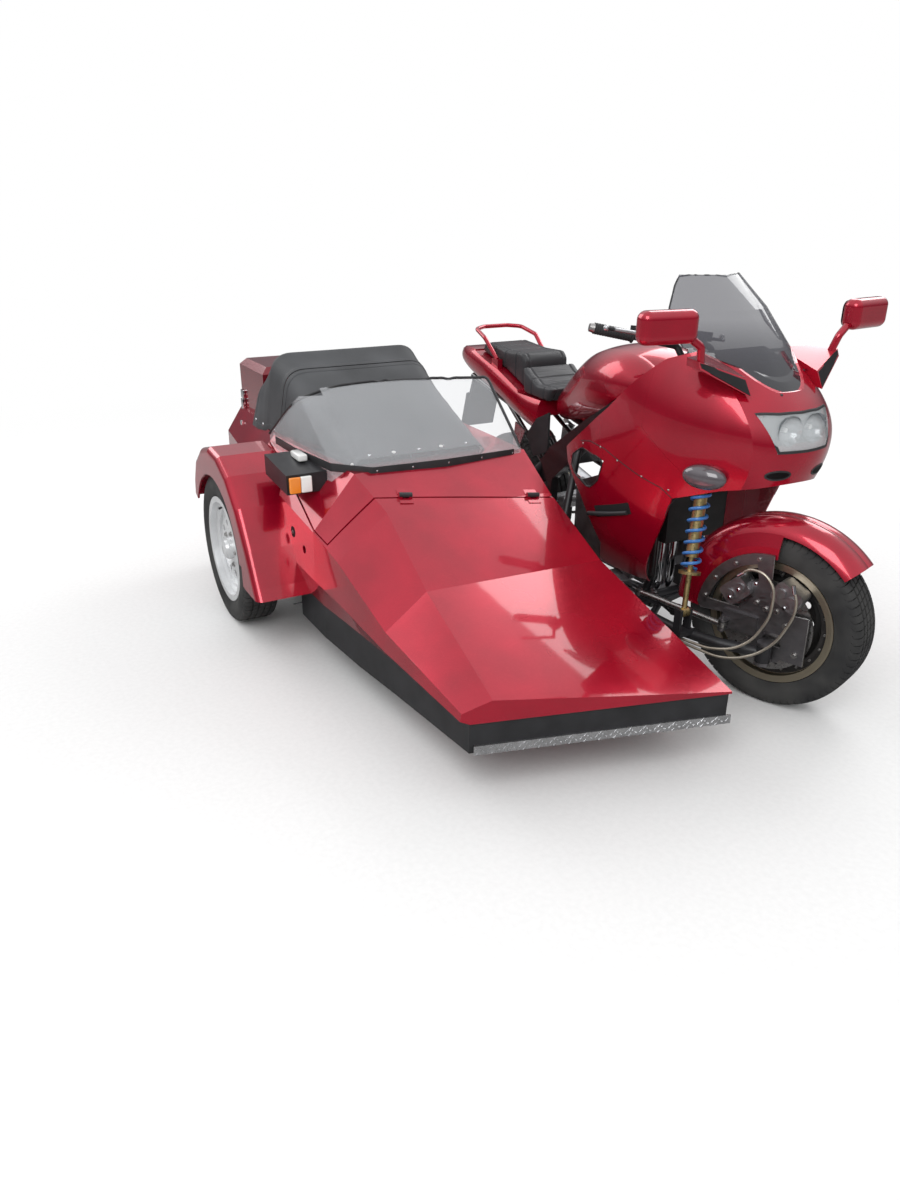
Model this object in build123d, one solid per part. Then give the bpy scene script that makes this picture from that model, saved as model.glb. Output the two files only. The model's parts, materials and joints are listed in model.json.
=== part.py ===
from build123d import *
import math
import os

# Sport touring motorcycle with a sidecar rigidly fixed on its right side.
# Millimetres, +X forward, +Y left, +Z up, floor at z = 0.
# The shapes are drawn from the front wheel's centre (x = 0) and the motorcycle's
# middle plane (y = 0). export() moves them so that the origin lies on the floor
# under the middle of the whole outline.

# Driving dimensions of the whole outfit
ORIGIN_X = -914.0
ORIGIN_Y = -478.0
WHEELBASE = 1540.0
TRACK = 1370.0
SIDECAR_LEAD = 70.0
STEER_REST = 18.0
STEER_LOCK = 25.0

# Wheels: car type rims and tyres
TYRE_R = 290.0
FRONT_TYRE_W = 145.0
REAR_TYRE_W = 165.0
SIDE_TYRE_W = 145.0
RIM_FLANGE_R = 207.5
RIM_SEAT_R = 190.0
RIM_WALL = 6.0
HUB_HALF = 52.0
REAR_HUB_HALF = 62.0
AXLE_R = 15.0
RUN_CLEAR = 0.05
SEAT_GAP = 0.3
MOVE_GAP = 6.0

# Kingpin and front upright, given in the front wheel's own frame
KINGPIN_F = 25.0
KINGPIN_L = -134.0
KINGPIN_R = 12.0
PLATE_L = -96.0
PLATE_T = 8.0
PLATE_ARC_R = 240.0
DISC_R = 152.0
DISC_T = 6.0
DISC_L = -83.0

# Steering linkage, world positions
CLEVIS_F = -124.0
CLEVIS_L = -138.5
ROD_Z = 268.0
ROD_DX = -343.0
ROD_DY = -65.0
ROD_R = 10.0

# Steering column of the handlebar
HEAD_X = -445.0
HEAD_Z = 1000.0
HEAD_RAKE = 24.0
HEAD_LENGTH = 150.0

# Motorcycle fairing and bodywork
PANEL = 4.0
SEAM = 0.3

# Sidecar body
TUB_WALL = 6.0
SKIRT_TOP_Z = 250.0
SKIRT_LOW_Z = 122.0
INNER_Y = -450.0
SEAM_GAP = 6.0
# The cowl's seam seen from above, and the feet of its two hinges on the deck, with the deck's own slope
SEAM_INNER = (-668.0, -430.0)
SEAM_OUTER = (-792.0, -1330.0)
HINGE_INNER = (-681.9, -531.0, 588.5)
HINGE_OUTER = (-745.7, -994.0, 637.0)
DECK_SLOPE = (0.894, 0.0, -0.447)
KNUCKLE_R = 8.0
HINGE_PIN_R = 4.0
KNUCKLE_HALF = 11.0
HINGE_HALF = 23.0
HINGE_LEAF = 34.0
LEAF_T = 3.0
COWL_OPEN = 60.0
BOOT_TOP = 912.0
BOOT_HINGE_X = -1789.0
BOOT_HINGE_Z = 899.0
BOOT_HINGE_Y = (-640.0, -990.0)
BOOT_KNUCKLE_R = 6.0
BOOT_PIN_R = 3.0
BOOT_OPEN = 70.0

FLOOR = 0.0


def export(name, shape):
    """Write one piece, moved to the origin under the middle of the outline."""
    moved = Pos(-ORIGIN_X, -ORIGIN_Y, FLOOR) * shape
    export_step(moved, f"parts/{name}.step")


def block(x, y, z):
    """Box from three (low, high) pairs."""
    size = [abs(pair[1] - pair[0]) for pair in (x, y, z)]
    middle = [(pair[0] + pair[1]) / 2 for pair in (x, y, z)]
    return Pos(*middle) * Box(*size)


def tube(points, radius, bend=40.0, bore=0.0):
    """Round bar or tube along straight runs joined by arcs."""
    if len(points) > 2:
        path = FilletPolyline(*points, radius=bend)
    else:
        path = Line(*points)
    ring = Circle(radius) - Circle(bore) if bore else Circle(radius)
    return sweep(Plane(origin=path @ 0, z_dir=path % 0) * ring, path=path)


def rod(start, end, radius):
    """Straight round bar between two points."""
    axis = Vector(*end) - Vector(*start)
    seat = Plane(origin=start, z_dir=axis)
    return seat * Cylinder(radius, axis.length, align=(Align.CENTER, Align.CENTER, Align.MIN))


def side_prism(points, y):
    """Prism whose outline is drawn from the side, in x and z, between two y planes."""
    outline = Polyline(*[(px, y[0], pz) for px, pz in points], close=True)
    return extrude(make_face(outline), amount=y[1] - y[0], dir=(0, 1, 0))


def plan_prism(points, z):
    """Prism whose outline is drawn from above, in x and y, between two heights."""
    outline = Polyline(*[(px, py, z[0]) for px, py in points], close=True)
    return extrude(make_face(outline), amount=z[1] - z[0], dir=(0, 0, 1))


def mirrored(shape):
    """The same shape on the other side of the motorcycle."""
    return mirror(shape, about=Plane.XZ)


def both(shape):
    """A shape and its mirror image, as one."""
    return shape + mirrored(shape)


def skin(points_a, points_b):
    """Solid between two closed outlines with the same number of corners."""
    rings = [Polyline(*points, close=True).wire() for points in (points_a, points_b)]
    return Solid.make_loft(rings, ruled=True)


# Wheels

def revolve_axle(points, arc=360):
    """Turn a half section, given as (across, radius), about the wheel's own axle."""
    outline = Polyline(*[(radius, across, 0) for across, radius in points], close=True)
    return revolve(make_face(outline), axis=Axis.Y, revolution_arc=arc)


def tyre(width):
    """Tyre with a rounded shoulder, open at the beads."""
    half = width / 2
    bead = half - 14
    seat = RIM_SEAT_R + SEAT_GAP
    with BuildSketch(Plane.XY) as section:
        with BuildLine():
            Polyline((seat, -bead), (RIM_FLANGE_R, -bead), (RIM_FLANGE_R + 4, -bead - 6))
            ThreePointArc((RIM_FLANGE_R + 4, -bead - 6), (RIM_FLANGE_R + 34, -half), (TYRE_R - 18, -half + 5))
            ThreePointArc((TYRE_R - 18, -half + 5), (TYRE_R - 5, -half + 12), (TYRE_R - 1, -half + 26))
            Polyline((TYRE_R - 1, -half + 26), (TYRE_R, 0), (TYRE_R - 1, half - 26))
            ThreePointArc((TYRE_R - 1, half - 26), (TYRE_R - 5, half - 12), (TYRE_R - 18, half - 5))
            ThreePointArc((TYRE_R - 18, half - 5), (RIM_FLANGE_R + 34, half), (RIM_FLANGE_R + 4, bead + 6))
            Polyline((RIM_FLANGE_R + 4, bead + 6), (RIM_FLANGE_R, bead), (seat, bead), (seat, -bead))
        make_face()
    return revolve(section.sketch, axis=Axis.Y)


def rim(width, face, hub_half, hub_r, slots, slot_r, slot_pitch):
    """Car type rim: barrel with a flange each side, a dished face with slots, and a hub."""
    bead = width / 2 - 14 + SEAT_GAP
    edge = bead + 5
    seat = RIM_SEAT_R
    inner = seat - RIM_WALL
    well = seat - 22
    barrel = revolve_axle([
        (-edge, RIM_FLANGE_R - 1), (-bead, RIM_FLANGE_R - 1), (-bead, seat), (-bead + 22, seat),
        (-bead + 30, well), (bead - 30, well), (bead - 22, seat), (bead, seat),
        (bead, RIM_FLANGE_R - 1), (edge, RIM_FLANGE_R - 1), (edge, RIM_FLANGE_R - 7),
        (edge - 1, inner), (bead - 20, inner), (bead - 27, well - RIM_WALL),
        (-bead + 27, well - RIM_WALL), (-bead + 20, inner), (-edge + 1, inner), (-edge, RIM_FLANGE_R - 7),
    ])
    plate = revolve_axle([
        (face, hub_r - 2), (face, 120), (face + 12, 145), (face + 12, well - 3),
        (face + 20, well - 3), (face + 20, 140), (face + 8, 115), (face + 8, hub_r - 2),
    ])
    for index in range(slots):
        hole = Pos(slot_pitch, 0, 0) * Rot(90, 0, 0) * Cylinder(slot_r, 200)
        plate -= Rot(0, 360 / slots * index, 0) * hole
    hub = Rot(90, 0, 0) * (Cylinder(hub_r, 2 * hub_half) - Cylinder(AXLE_R + RUN_CLEAR, 4 * hub_half))
    return barrel + plate + hub


def disc(radius, inner, across, thick, holes):
    """Brake disc with a ring of holes."""
    ring = Rot(90, 0, 0) * (Cylinder(radius, thick) - Cylinder(inner, 2 * thick))
    for index in range(holes):
        hole = Rot(0, 360 / holes * index, 0) * Pos((radius + inner) / 2 + 12, 0, 0)
        ring -= hole * Rot(90, 0, 0) * Cylinder(6, 2 * thick)
    return Pos(0, across, 0) * ring


# Front wheel and its upright, in the wheel's own frame, then turned by the rest angle

def steered(shape):
    """Place a shape drawn in the wheel's frame at the wheel's centre, turned to the left."""
    return Pos(0, 0, TYRE_R) * Rot(0, 0, STEER_REST) * shape


def wheel_point(forward, left):
    """World x and y of a point given in the front wheel's frame."""
    turn = math.radians(STEER_REST)
    return (forward * math.cos(turn) - left * math.sin(turn), forward * math.sin(turn) + left * math.cos(turn))


KINGPIN_X, KINGPIN_Y = wheel_point(KINGPIN_F, KINGPIN_L)
CLEVIS_X, CLEVIS_Y = wheel_point(CLEVIS_F, CLEVIS_L)
RELAY_X = KINGPIN_X + ROD_DX
RELAY_Y = KINGPIN_Y + ROD_DY
BOSS_R = 24.0
BOSS_LOW = 186.0
BOSS_HIGH = 240.0
EAR_GAP = 1.0
EAR_T = 11.0


def arc_points(radius, start, end, count):
    """Points along an arc about the axle, angles in degrees from forward."""
    step = (end - start) / (count - 1)
    angles = [math.radians(start + step * index) for index in range(count)]
    return [(radius * math.cos(angle), radius * math.sin(angle)) for angle in angles]


def upright_plate():
    """Flat plate beside the wheel: arc for the mudguard, caliper windows and a foot."""
    face = PLATE_L - PLATE_T
    with BuildSketch(Plane.XZ) as outline:
        with BuildLine():
            corner = (0, PLATE_ARC_R)
            tail = (-PLATE_ARC_R * math.cos(math.radians(4)), PLATE_ARC_R * math.sin(math.radians(4)))
            middle = (-PLATE_ARC_R * math.cos(math.radians(47)), PLATE_ARC_R * math.sin(math.radians(47)))
            ThreePointArc(corner, middle, tail)
            Polyline(tail, (-224, -2), (-119, 8), (-45, 8), (-45, -70), (10, -112), (60, -112),
                     (70, -97), (143, -97), (140, 68), (87, 64), (62, 92), (24, 108), (4, 162), corner)
        make_face()
        with BuildLine():
            Polyline((-204, 40), *arc_points(206, 166, 104, 7), *arc_points(152, 104, 118, 2),
                     *arc_points(100, 120, 150, 3), (-88, 40), close=True)
        make_face(mode=Mode.SUBTRACT)
        with Locations((34, -36)):
            Rectangle(62, 44, mode=Mode.SUBTRACT)
    plate = extrude(outline.sketch, amount=PLATE_T)
    return Pos(0, PLATE_L, 0) * plate


def front_upright():
    """Plate, fixed spindle, ears that hold the kingpin and the steering lever."""
    plate = upright_plate()
    spindle = rod((0, PLATE_L, 0), (0, 62, 0), AXLE_R)
    shoulder = rod((0, PLATE_L, 0), (0, DISC_L - 12, 0), 30)
    ears = []
    for low in (BOSS_HIGH + EAR_GAP - TYRE_R, BOSS_LOW - EAR_GAP - EAR_T - TYRE_R):
        ear = Pos(KINGPIN_F, KINGPIN_L, low) * Cylinder(BOSS_R, EAR_T, align=(Align.CENTER, Align.CENTER, Align.MIN))
        ear += block((KINGPIN_F - 18, KINGPIN_F + 18), (KINGPIN_L, PLATE_L - 2), (low, low + EAR_T))
        ears.append(ear)
    pin = Pos(KINGPIN_F, KINGPIN_L, BOSS_LOW - EAR_GAP - EAR_T - TYRE_R) * Cylinder(
        KINGPIN_R, BOSS_HIGH - BOSS_LOW + 2 * (EAR_GAP + EAR_T), align=(Align.CENTER, Align.CENTER, Align.MIN))
    eye_z = ROD_Z - TYRE_R
    lever = block((CLEVIS_F - 14, -20), (PLATE_L - PLATE_T - 12, PLATE_L - PLATE_T + 2), (eye_z - 18, 24))
    for low in (eye_z - 20, eye_z + 11):
        lever += Pos(CLEVIS_F, CLEVIS_L, low) * Cylinder(13, 9, align=(Align.CENTER, Align.CENTER, Align.MIN))
        lever += block((CLEVIS_F - 13, CLEVIS_F + 13), (CLEVIS_L, PLATE_L - PLATE_T), (low, low + 9))
    bolt = Pos(CLEVIS_F, CLEVIS_L, eye_z - 26) * Cylinder(6, 58, align=(Align.CENTER, Align.CENTER, Align.MIN))
    upright = plate + spindle + shoulder + ears[0] + ears[1] + pin + lever + bolt
    return steered(upright)


def caliper(angle, length):
    """Two-piston caliper that straddles the disc, seated on the plate's inner side."""
    body = block((-length / 2, length / 2), (DISC_L - 46, DISC_L + 18), (108, 178))
    body = fillet(body.edges().filter_by(Axis.Y), 16)
    body -= block((-length, length), (DISC_L - DISC_T / 2 - 1.5, DISC_L + DISC_T / 2 + 1.5), (60, DISC_R + 4))
    for side in (-1, 1):
        body += Pos(side * length * 0.22, DISC_L - 46, 143) * Rot(90, 0, 0) * Cylinder(17, 14)
    return Rot(0, 90 - angle, 0) * body


def brake_calipers():
    """The two calipers of the front disc, bolted through the plate's windows."""
    face = PLATE_L - PLATE_T
    plate = upright_plate() + block((-60, 160), (face - 14, face), (-60, 20))
    seat = Pos(0, -SEAT_GAP, 0) * plate + Pos(0, SEAT_GAP, 0) * plate
    return [caliper(135, 92) - seat, caliper(62, 92) - seat]


# The guard runs from the height of the axle over the top and some way down in front
GUARD_SWEEP = 136.0
GUARD_HALF = 84.0


def front_mudguard():
    """Rounded guard that turns with the wheel."""
    half = GUARD_HALF
    inner = GUARD_HALF - 4
    with BuildSketch(Plane.XY) as section:
        with BuildLine():
            ThreePointArc((300, -half), (338, -0.65 * half), (346, 0))
            ThreePointArc((346, 0), (338, 0.65 * half), (300, half))
            Line((300, half), (300, inner))
            ThreePointArc((300, inner), (334, 0.65 * inner), (342, 0))
            ThreePointArc((342, 0), (334, -0.65 * inner), (300, -inner))
            Line((300, -inner), (300, -half))
        make_face()
    arc = revolve(section.sketch, axis=Axis.Y, revolution_arc=GUARD_SWEEP)
    flank = PLATE_L + SEAT_GAP
    low = PLATE_ARC_R - 14
    cheek = revolve_axle([(flank, low), (flank, low + 36), (-half, 304), (-inner, 304), (-inner, 298),
                          (flank + 5, low + 34), (flank + 5, low)], 92)
    return steered(Rot(0, -180, 0) * (arc + cheek))


def front_swingarm():
    """Leading arm on the right side, from the cross tube to the kingpin boss."""
    boss = Pos(KINGPIN_X, KINGPIN_Y, BOSS_LOW) * (
        Cylinder(BOSS_R, BOSS_HIGH - BOSS_LOW, align=(Align.CENTER, Align.CENTER, Align.MIN))
        - Cylinder(KINGPIN_R + RUN_CLEAR, BOSS_HIGH - BOSS_LOW, align=(Align.CENTER, Align.CENTER, Align.MIN)))
    arm = tube([(-440, -262, 214), (-215, -246, 212), (-60, -196, 213),
                (KINGPIN_X - 15, KINGPIN_Y - 9, 213)], 18, 90)
    cross = rod((CROSS_X, -285, CROSS_Z), (CROSS_X, 172, CROSS_Z), CROSS_R)
    stay = tube([(CROSS_X, 60, CROSS_Z), (-400, -150, 214), (-330, -244, 213)], 13, 60)
    x, y, z = SHOCK_LOW
    mount = shock_ears(SHOCK_LOW, (x - 15, x + 15), (z - 72, z + 14)) + block((x - 24, x + 24), (y - 26, y + 36), (218, 236))
    return boss + arm + cross + stay + mount


CROSS_X = -452.0
CROSS_Z = 214.0
CROSS_R = 24.0
SHOCK_LOW = (-161.5, -261.3, 296.3)
SHOCK_HIGH = (-248.5, -153.3, 836.3)


SHOCK_PIN_R = 8.0
SHOCK_EYE_R = 16.0
SHOCK_EYE_HALF = 15.0


def shock_pin(point, radius, half):
    """Round pin across the motorcycle through one eye of the strut."""
    x, y, z = point
    return rod((x, y - half, z), (x, y + half, z), radius)


def shock_ears(point, x, z):
    """Two ears beside an eye of the strut, with the pin between them."""
    y = point[1]
    near = SHOCK_EYE_HALF + 0.7
    far = near + 10
    return block(x, (y - far, y - near), z) + block(x, (y + near, y + far), z) + shock_pin(point, SHOCK_PIN_R, far)


def front_shock():
    """Damper with cup and collar for the spring and an eye at each end."""
    low = Vector(*SHOCK_LOW)
    axis = Vector(*SHOCK_HIGH) - low
    seat = Plane(origin=low, z_dir=axis)
    length = axis.length
    at = (Align.CENTER, Align.CENTER, Align.MIN)
    shaft = Cylinder(9, 190, align=at)
    body = Pos(0, 0, 185) * Cylinder(21, length - 212, align=at)
    cup = Pos(0, 0, 128) * Cylinder(36, 10, align=at)
    collar = Pos(0, 0, 400) * Cylinder(36, 12, align=at)
    neck = Pos(0, 0, length - 40) * Cylinder(12, 30, align=at)
    strut = seat * (shaft + body + cup + collar + neck)
    for point in (SHOCK_LOW, SHOCK_HIGH):
        strut += shock_pin(point, SHOCK_EYE_R, SHOCK_EYE_HALF)
    for point in (SHOCK_LOW, SHOCK_HIGH):
        strut -= shock_pin(point, SHOCK_PIN_R + RUN_CLEAR, 2 * SHOCK_EYE_HALF)
    return strut


def front_spring():
    """Coil spring between the strut's cup and collar."""
    low = Vector(*SHOCK_LOW)
    axis = Vector(*SHOCK_HIGH) - low
    path = Helix(pitch=36, height=250.4, radius=28)
    wire = sweep(Plane(origin=path @ 0, z_dir=path % 0) * Circle(5.5), path=path, is_frenet=True)
    return Plane(origin=low, z_dir=axis) * Pos(0, 0, 143.8) * wire


def steering_rod():
    """Rod from the relay lever to the upright's lever, with an eye at each end."""
    front = (CLEVIS_X, CLEVIS_Y, ROD_Z)
    rear = (CLEVIS_X + ROD_DX, CLEVIS_Y + ROD_DY, ROD_Z)
    bar = rod(rear, front, ROD_R)
    at = (Align.CENTER, Align.CENTER, Align.CENTER)
    for end in (front, rear):
        bar += Pos(*end) * Cylinder(14, 18, align=at)
    for end in (front, rear):
        bar -= Pos(*end) * Cylinder(6 + RUN_CLEAR, 60, align=at)
    return bar


def steering_relay():
    """Relay lever, parallel to the upright's lever, on a post of the frame."""
    rear = (CLEVIS_X + ROD_DX, CLEVIS_Y + ROD_DY)
    at = (Align.CENTER, Align.CENTER, Align.MIN)
    arm = plan_prism(lever_outline((RELAY_X, RELAY_Y), rear, 15), (ROD_Z - 21, ROD_Z - 10))
    arm += Pos(RELAY_X, RELAY_Y, ROD_Z - 21) * Cylinder(20, 11, align=at)
    arm += Pos(rear[0], rear[1], ROD_Z - 21) * Cylinder(13, 11, align=at)
    arm += Pos(rear[0], rear[1], ROD_Z - 21) * Cylinder(6, 42, align=at)
    return arm - Pos(RELAY_X, RELAY_Y, ROD_Z - 40) * Cylinder(10 + RUN_CLEAR, 90, align=at)


def lever_outline(start, end, half):
    """Four corners of a flat lever between two points."""
    along = math.atan2(end[1] - start[1], end[0] - start[0])
    sx = -math.sin(along) * half
    sy = math.cos(along) * half
    return [(start[0] + sx, start[1] + sy), (end[0] + sx, end[1] + sy),
            (end[0] - sx, end[1] - sy), (start[0] - sx, start[1] - sy)]


# Frame, engine and rear end of the motorcycle

PIVOT_X = -1085.0
PIVOT_Z = 400.0
PIVOT_R = 14.0
REAR_X = -WHEELBASE
CHAIN_Y = 104.0
SPROCKET_R = 96.0
PINION_R = 42.0
PINION_X = -985.0
PINION_Z = 400.0
SPAR_IN = 172.0
SPAR_OUT = 206.0


RAIL_R = 13.0
STAY_R = 11.0


def seat_rail(radius):
    """Left rail that carries the seat and the tail."""
    return tube([(-1080, 140, 600), (-1210, 100, 655), (-1880, 85, 790)], radius, 100)


def seat_stay(radius):
    """Left stay below the seat rail."""
    return tube([(-1110, 172, 480), (-1190, 124, 522), (-1560, 88, 722)], radius, 40)


def main_frame():
    """Twin spar frame with headstock, pivot plates, cradle tubes and seat rails."""
    spar = side_prism([(-470, 990), (-560, 965), (-830, 800), (-1060, 640), (-1130, 560), (-1130, 360),
                       (-1040, 360), (-1030, 520), (-830, 690), (-560, 850), (-470, 900)], (SPAR_IN, SPAR_OUT))
    slot = side_prism([(-580, 915), (-640, 880), (-640, 855), (-580, 890)], (SPAR_IN - 1, SPAR_OUT + 1))
    spar -= slot
    front_beam = side_prism([(-470, 990), (-430, 1000), (-430, 900), (-470, 900)], (0, SPAR_OUT))
    front_beam += side_prism([(-470, 990), (-500, 982), (-500, 890), (-470, 900)], (SPAR_IN - 40, SPAR_OUT))
    pivot_beam = block((-1120, -1080), (0, SPAR_IN), (245, 270))
    upper_beam = block((-1100, -1050), (0, SPAR_IN), (560, 610))
    cradle = tube([(-455, 150, 905), (-455, 150, 300), (-500, 150, 190), (-1085, 150, 190), (-1100, 150, 300),
                   (-1100, 182, 380)], 16, 30)
    lug = block((-505, CROSS_X + 26), (134, 166), (188, 242))
    rail = seat_rail(RAIL_R)
    tie = block((-1100, -1060), (130, SPAR_IN), (590, 612))
    stay = seat_stay(STAY_R)
    half = spar + front_beam + pivot_beam + upper_beam + cradle + rail + stay + lug + tie
    frame = both(half)
    frame -= rod((PIVOT_X, -300, PIVOT_Z), (PIVOT_X, 300, PIVOT_Z), PIVOT_R + RUN_CLEAR)
    frame -= rod((CROSS_X, -300, CROSS_Z), (CROSS_X, 300, CROSS_Z), CROSS_R + RUN_CLEAR)
    rake = math.radians(HEAD_RAKE)
    head = Plane(origin=(HEAD_X, 0, HEAD_Z - 40), z_dir=(-math.sin(rake), 0, math.cos(rake)))
    column = head * (Cylinder(34, HEAD_LENGTH))
    frame += column
    hanger = rod((-520, SPAR_IN, 885), (-520, 340, 885), 8) & fairing_solid(PANEL + SEAT_GAP)
    frame += both(hanger)
    frame -= head * Cylinder(15 + RUN_CLEAR, 2 * HEAD_LENGTH)
    at = (Align.CENTER, Align.CENTER, Align.MIN)
    post = Pos(RELAY_X, RELAY_Y, ROD_Z - 40) * Cylinder(10, 29, align=at)
    post += Pos(RELAY_X, RELAY_Y, ROD_Z - 40) * Cylinder(20, 18.5, align=at)
    bracket = plan_prism([(RELAY_X, RELAY_Y - 18), (RELAY_X + 10, RELAY_Y + 18), (-430, -140), (-430, -164)],
                         (ROD_Z - 40, ROD_Z - 30))
    x, y, z = SHOCK_HIGH
    tower = rod((-455, -150, 860), (x - 38, y, z + 2), 14) + shock_ears(SHOCK_HIGH, (x - 50, x + 14), (z - 14, z + 18))
    tower += block((x - 50, x - 28), (y - 25, y + 25), (z - 14, z + 18))
    return frame + post + bracket + tower


def engine_block():
    """The engine as one plain block with its head inclined forward."""
    outline = [(-508, 330), (-524, 640), (-570, 690), (-800, 660), (-880, 560), (-1020, 500),
               (-1020, 300), (-960, 215), (-570, 215)]
    core = side_prism(outline, (-88, 88))
    cases = side_prism([(-516, 420), (-524, 620), (-570, 660), (-780, 640), (-860, 540), (-860, 300), (-600, 230)],
                       (-130, 130))
    feet = block((-700, -640), (-158, 158), (206.3, 236))
    pinion = rod((PINION_X, 80, PINION_Z), (PINION_X, CHAIN_Y + 4, PINION_Z), PINION_R)
    return core + cases + pinion + feet


def rear_swingarm():
    """Rear fork with a round axle between its arms."""
    arm = side_prism([(PIVOT_X + 26, PIVOT_Z + 28), (-1330, 372), (REAR_X - 45, 318), (REAR_X - 45, 262),
                      (-1330, 300), (PIVOT_X + 26, PIVOT_Z - 28)], (118, 146))
    cross = block((-1200, -1150), (0, 120), (340, 396))
    fork = both(arm + cross)
    pivot = rod((PIVOT_X, -SPAR_OUT, PIVOT_Z), (PIVOT_X, SPAR_OUT, PIVOT_Z), PIVOT_R)
    axle = rod((REAR_X, -152, TYRE_R), (REAR_X, 152, TYRE_R), AXLE_R)
    return fork + pivot + axle


def sprocket(radius, teeth, y):
    """Toothed wheel with round tooth gaps."""
    at = (Align.CENTER, Align.CENTER, Align.CENTER)
    plate = Rot(90, 0, 0) * Cylinder(radius, 7, align=at)
    for index in range(teeth):
        gap = Pos(radius + 2, 0, 0) * Rot(90, 0, 0) * Cylinder(5.2, 20, align=at)
        plate -= Rot(0, 360 / teeth * index, 0) * gap
    return Pos(0, y, 0) * plate


def drive_chain():
    """Chain as one closed loop of constant section round the two sprockets."""
    outer = racetrack(PINION_R + 11, SPROCKET_R + 11)
    inner = racetrack(PINION_R + SEAT_GAP, SPROCKET_R + SEAT_GAP)
    return extrude(outer - inner, amount=9, both=True)


def racetrack(front_r, rear_r):
    """Filled outline of a belt round the pinion and the rear sprocket, drawn from the side."""
    dx = REAR_X - PINION_X
    dz = TYRE_R - PINION_Z
    distance = math.hypot(dx, dz)
    base = math.atan2(dz, dx)
    spread = math.acos((rear_r - front_r) / distance)
    points = []
    for centre, radius, angles in (
            ((PINION_X, PINION_Z), front_r, (base + math.pi - spread, base + math.pi + spread)),
            ((REAR_X, TYRE_R), rear_r, (base + math.pi + spread, base + 3 * math.pi - spread))):
        for share in (0, 0.5, 1):
            angle = angles[0] + (angles[1] - angles[0]) * share
            points.append((centre[0] + radius * math.cos(angle), centre[1] + radius * math.sin(angle)))
    plane = Plane(origin=(0, CHAIN_Y, 0), x_dir=(1, 0, 0), z_dir=(0, -1, 0))
    with BuildSketch(plane) as outline:
        with BuildLine():
            ThreePointArc(points[0], points[1], points[2])
            Line(points[2], points[3])
            ThreePointArc(points[3], points[4], points[5])
            Line(points[5], points[0])
        make_face()
    return outline.sketch


def exhaust():
    """Collector pipe and silencer of the left side."""
    pipe = tube([(-534, 96, 560), (-484, 96, 520), (-484, 96, 240), (-560, 84, 176), (-1060, 84, 172),
                 (-1180, 170, 235), (-1300, 214, 338)], 18, 50)
    inner = tube([(-534, 42, 560), (-484, 42, 520), (-484, 42, 240), (-560, 48, 176), (-740, 84, 174)], 18, 50)
    pipe += inner
    start = (-1290, 212, 330)
    end = (-1800, 226, 446)
    can = rod(start, end, 52)
    can = chamfer(can.edges(), 14)
    tip = rod((-1796, 225.9, 445), (-1822, 226.6, 451), 24)
    bore = rod((-1780, 225.4, 441.4), (-1830, 226.8, 452.8), 19)
    return (pipe + can + tip) - bore - Pos(SEAT_GAP, 0, 0) * engine_block()


def footrests():
    """Rider pegs with heel plates, and pillion pegs on hangers."""
    at = (Align.CENTER, Align.CENTER, Align.MIN)
    plate = side_prism([(-1070, 500), (-1190, 400), (-1230, 380), (-1230, 345), (-1180, 350), (-1060, 420)], (SPAR_OUT + SEAT_GAP, 215))
    peg = rod((-1150, 214, 382), (-1150, 300, 386), 13)
    rear = side_prism([(-1350, 640), (-1420, 520), (-1450, 520), (-1430, 664)], (124, 132))
    rear_peg = rod((-1432, 131, 530), (-1432, 222, 534), 12)
    boss = rod((-1390, 100, 630), (-1390, 126, 630), 12) - seat_stay(STAY_R + SEAT_GAP)
    return [plate + peg, rear + rear_peg + boss]


# Motorcycle bodywork

def plan_ring(z, nose, shoulder, middle, rear, inset):
    """Closed outline seen from above: pointed nose, curved flanks and a straight rear."""
    shoulder_x, shoulder_y = shoulder[0] - inset, shoulder[1] - inset
    middle_x, middle_y = middle[0], middle[1] - inset
    rear_x, rear_y = rear[0], rear[1] - inset
    left = ThreePointArc((rear_x, rear_y, z), (middle_x, middle_y, z), (shoulder_x, shoulder_y, z))
    front = ThreePointArc((shoulder_x, shoulder_y, z), (nose - inset, 0, z), (shoulder_x, -shoulder_y, z))
    right = ThreePointArc((shoulder_x, -shoulder_y, z), (middle_x, -middle_y, z), (rear_x, -rear_y, z))
    back = Line((rear_x, -rear_y, z), (rear_x, rear_y, z))
    return Wire([left.edge(), front.edge(), right.edge(), back.edge()])


# Fairing by height: z, nose x, shoulder (x, y), middle (x, y), rear (x, y)
FAIRING_LEVELS = [
    (285, -330, (-380, 150), (-520, 205), (-860, 190)),
    (480, -150, (-210, 185), (-520, 292), (-860, 262)),
    (700, -28, (-95, 160), (-420, 305), (-860, 285)),
    (860, 8, (-50, 170), (-360, 300), (-860, 280)),
    (1000, -78, (-140, 175), (-380, 285), (-860, 255)),
    (1180, -215, (-270, 150), (-430, 255), (-860, 225)),
]
# Screen by height: z, middle x, side edge (x, y)
SCREEN_LEVELS = [(982, -86, (-322, 237)), (1110, -190, (-400, 222)), (1225, -300, (-455, 190)),
                 (1322, -418, (-500, 130))]
SCREEN_T = 4.0


def fairing_solid(inset):
    """Whole fairing volume, as a loft through the levels."""
    rings = [plan_ring(*level, inset) for level in FAIRING_LEVELS]
    return Solid.make_loft(rings)


FAIRING_SIDE = [(-52, 728), (-10, 742), (40, 790), (40, 930), (-70, 1004), (-92, 1008), (-190, 1070),
                (-300, 1112), (-372, 1085), (-455, 1010), (-560, 905), (-690, 800), (-815, 712), (-800, 660),
                (-700, 560), (-640, 470), (-600, 400), (-640, 318), (-420, 298), (-372, 420), (-318, 560),
                (-285, 650), (-140, 706)]
SPLIT_LINE = [(-400, 1400), (-400, 870), (-170, 690), (-170, 500), (200, 500), (200, 1400)]


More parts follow.
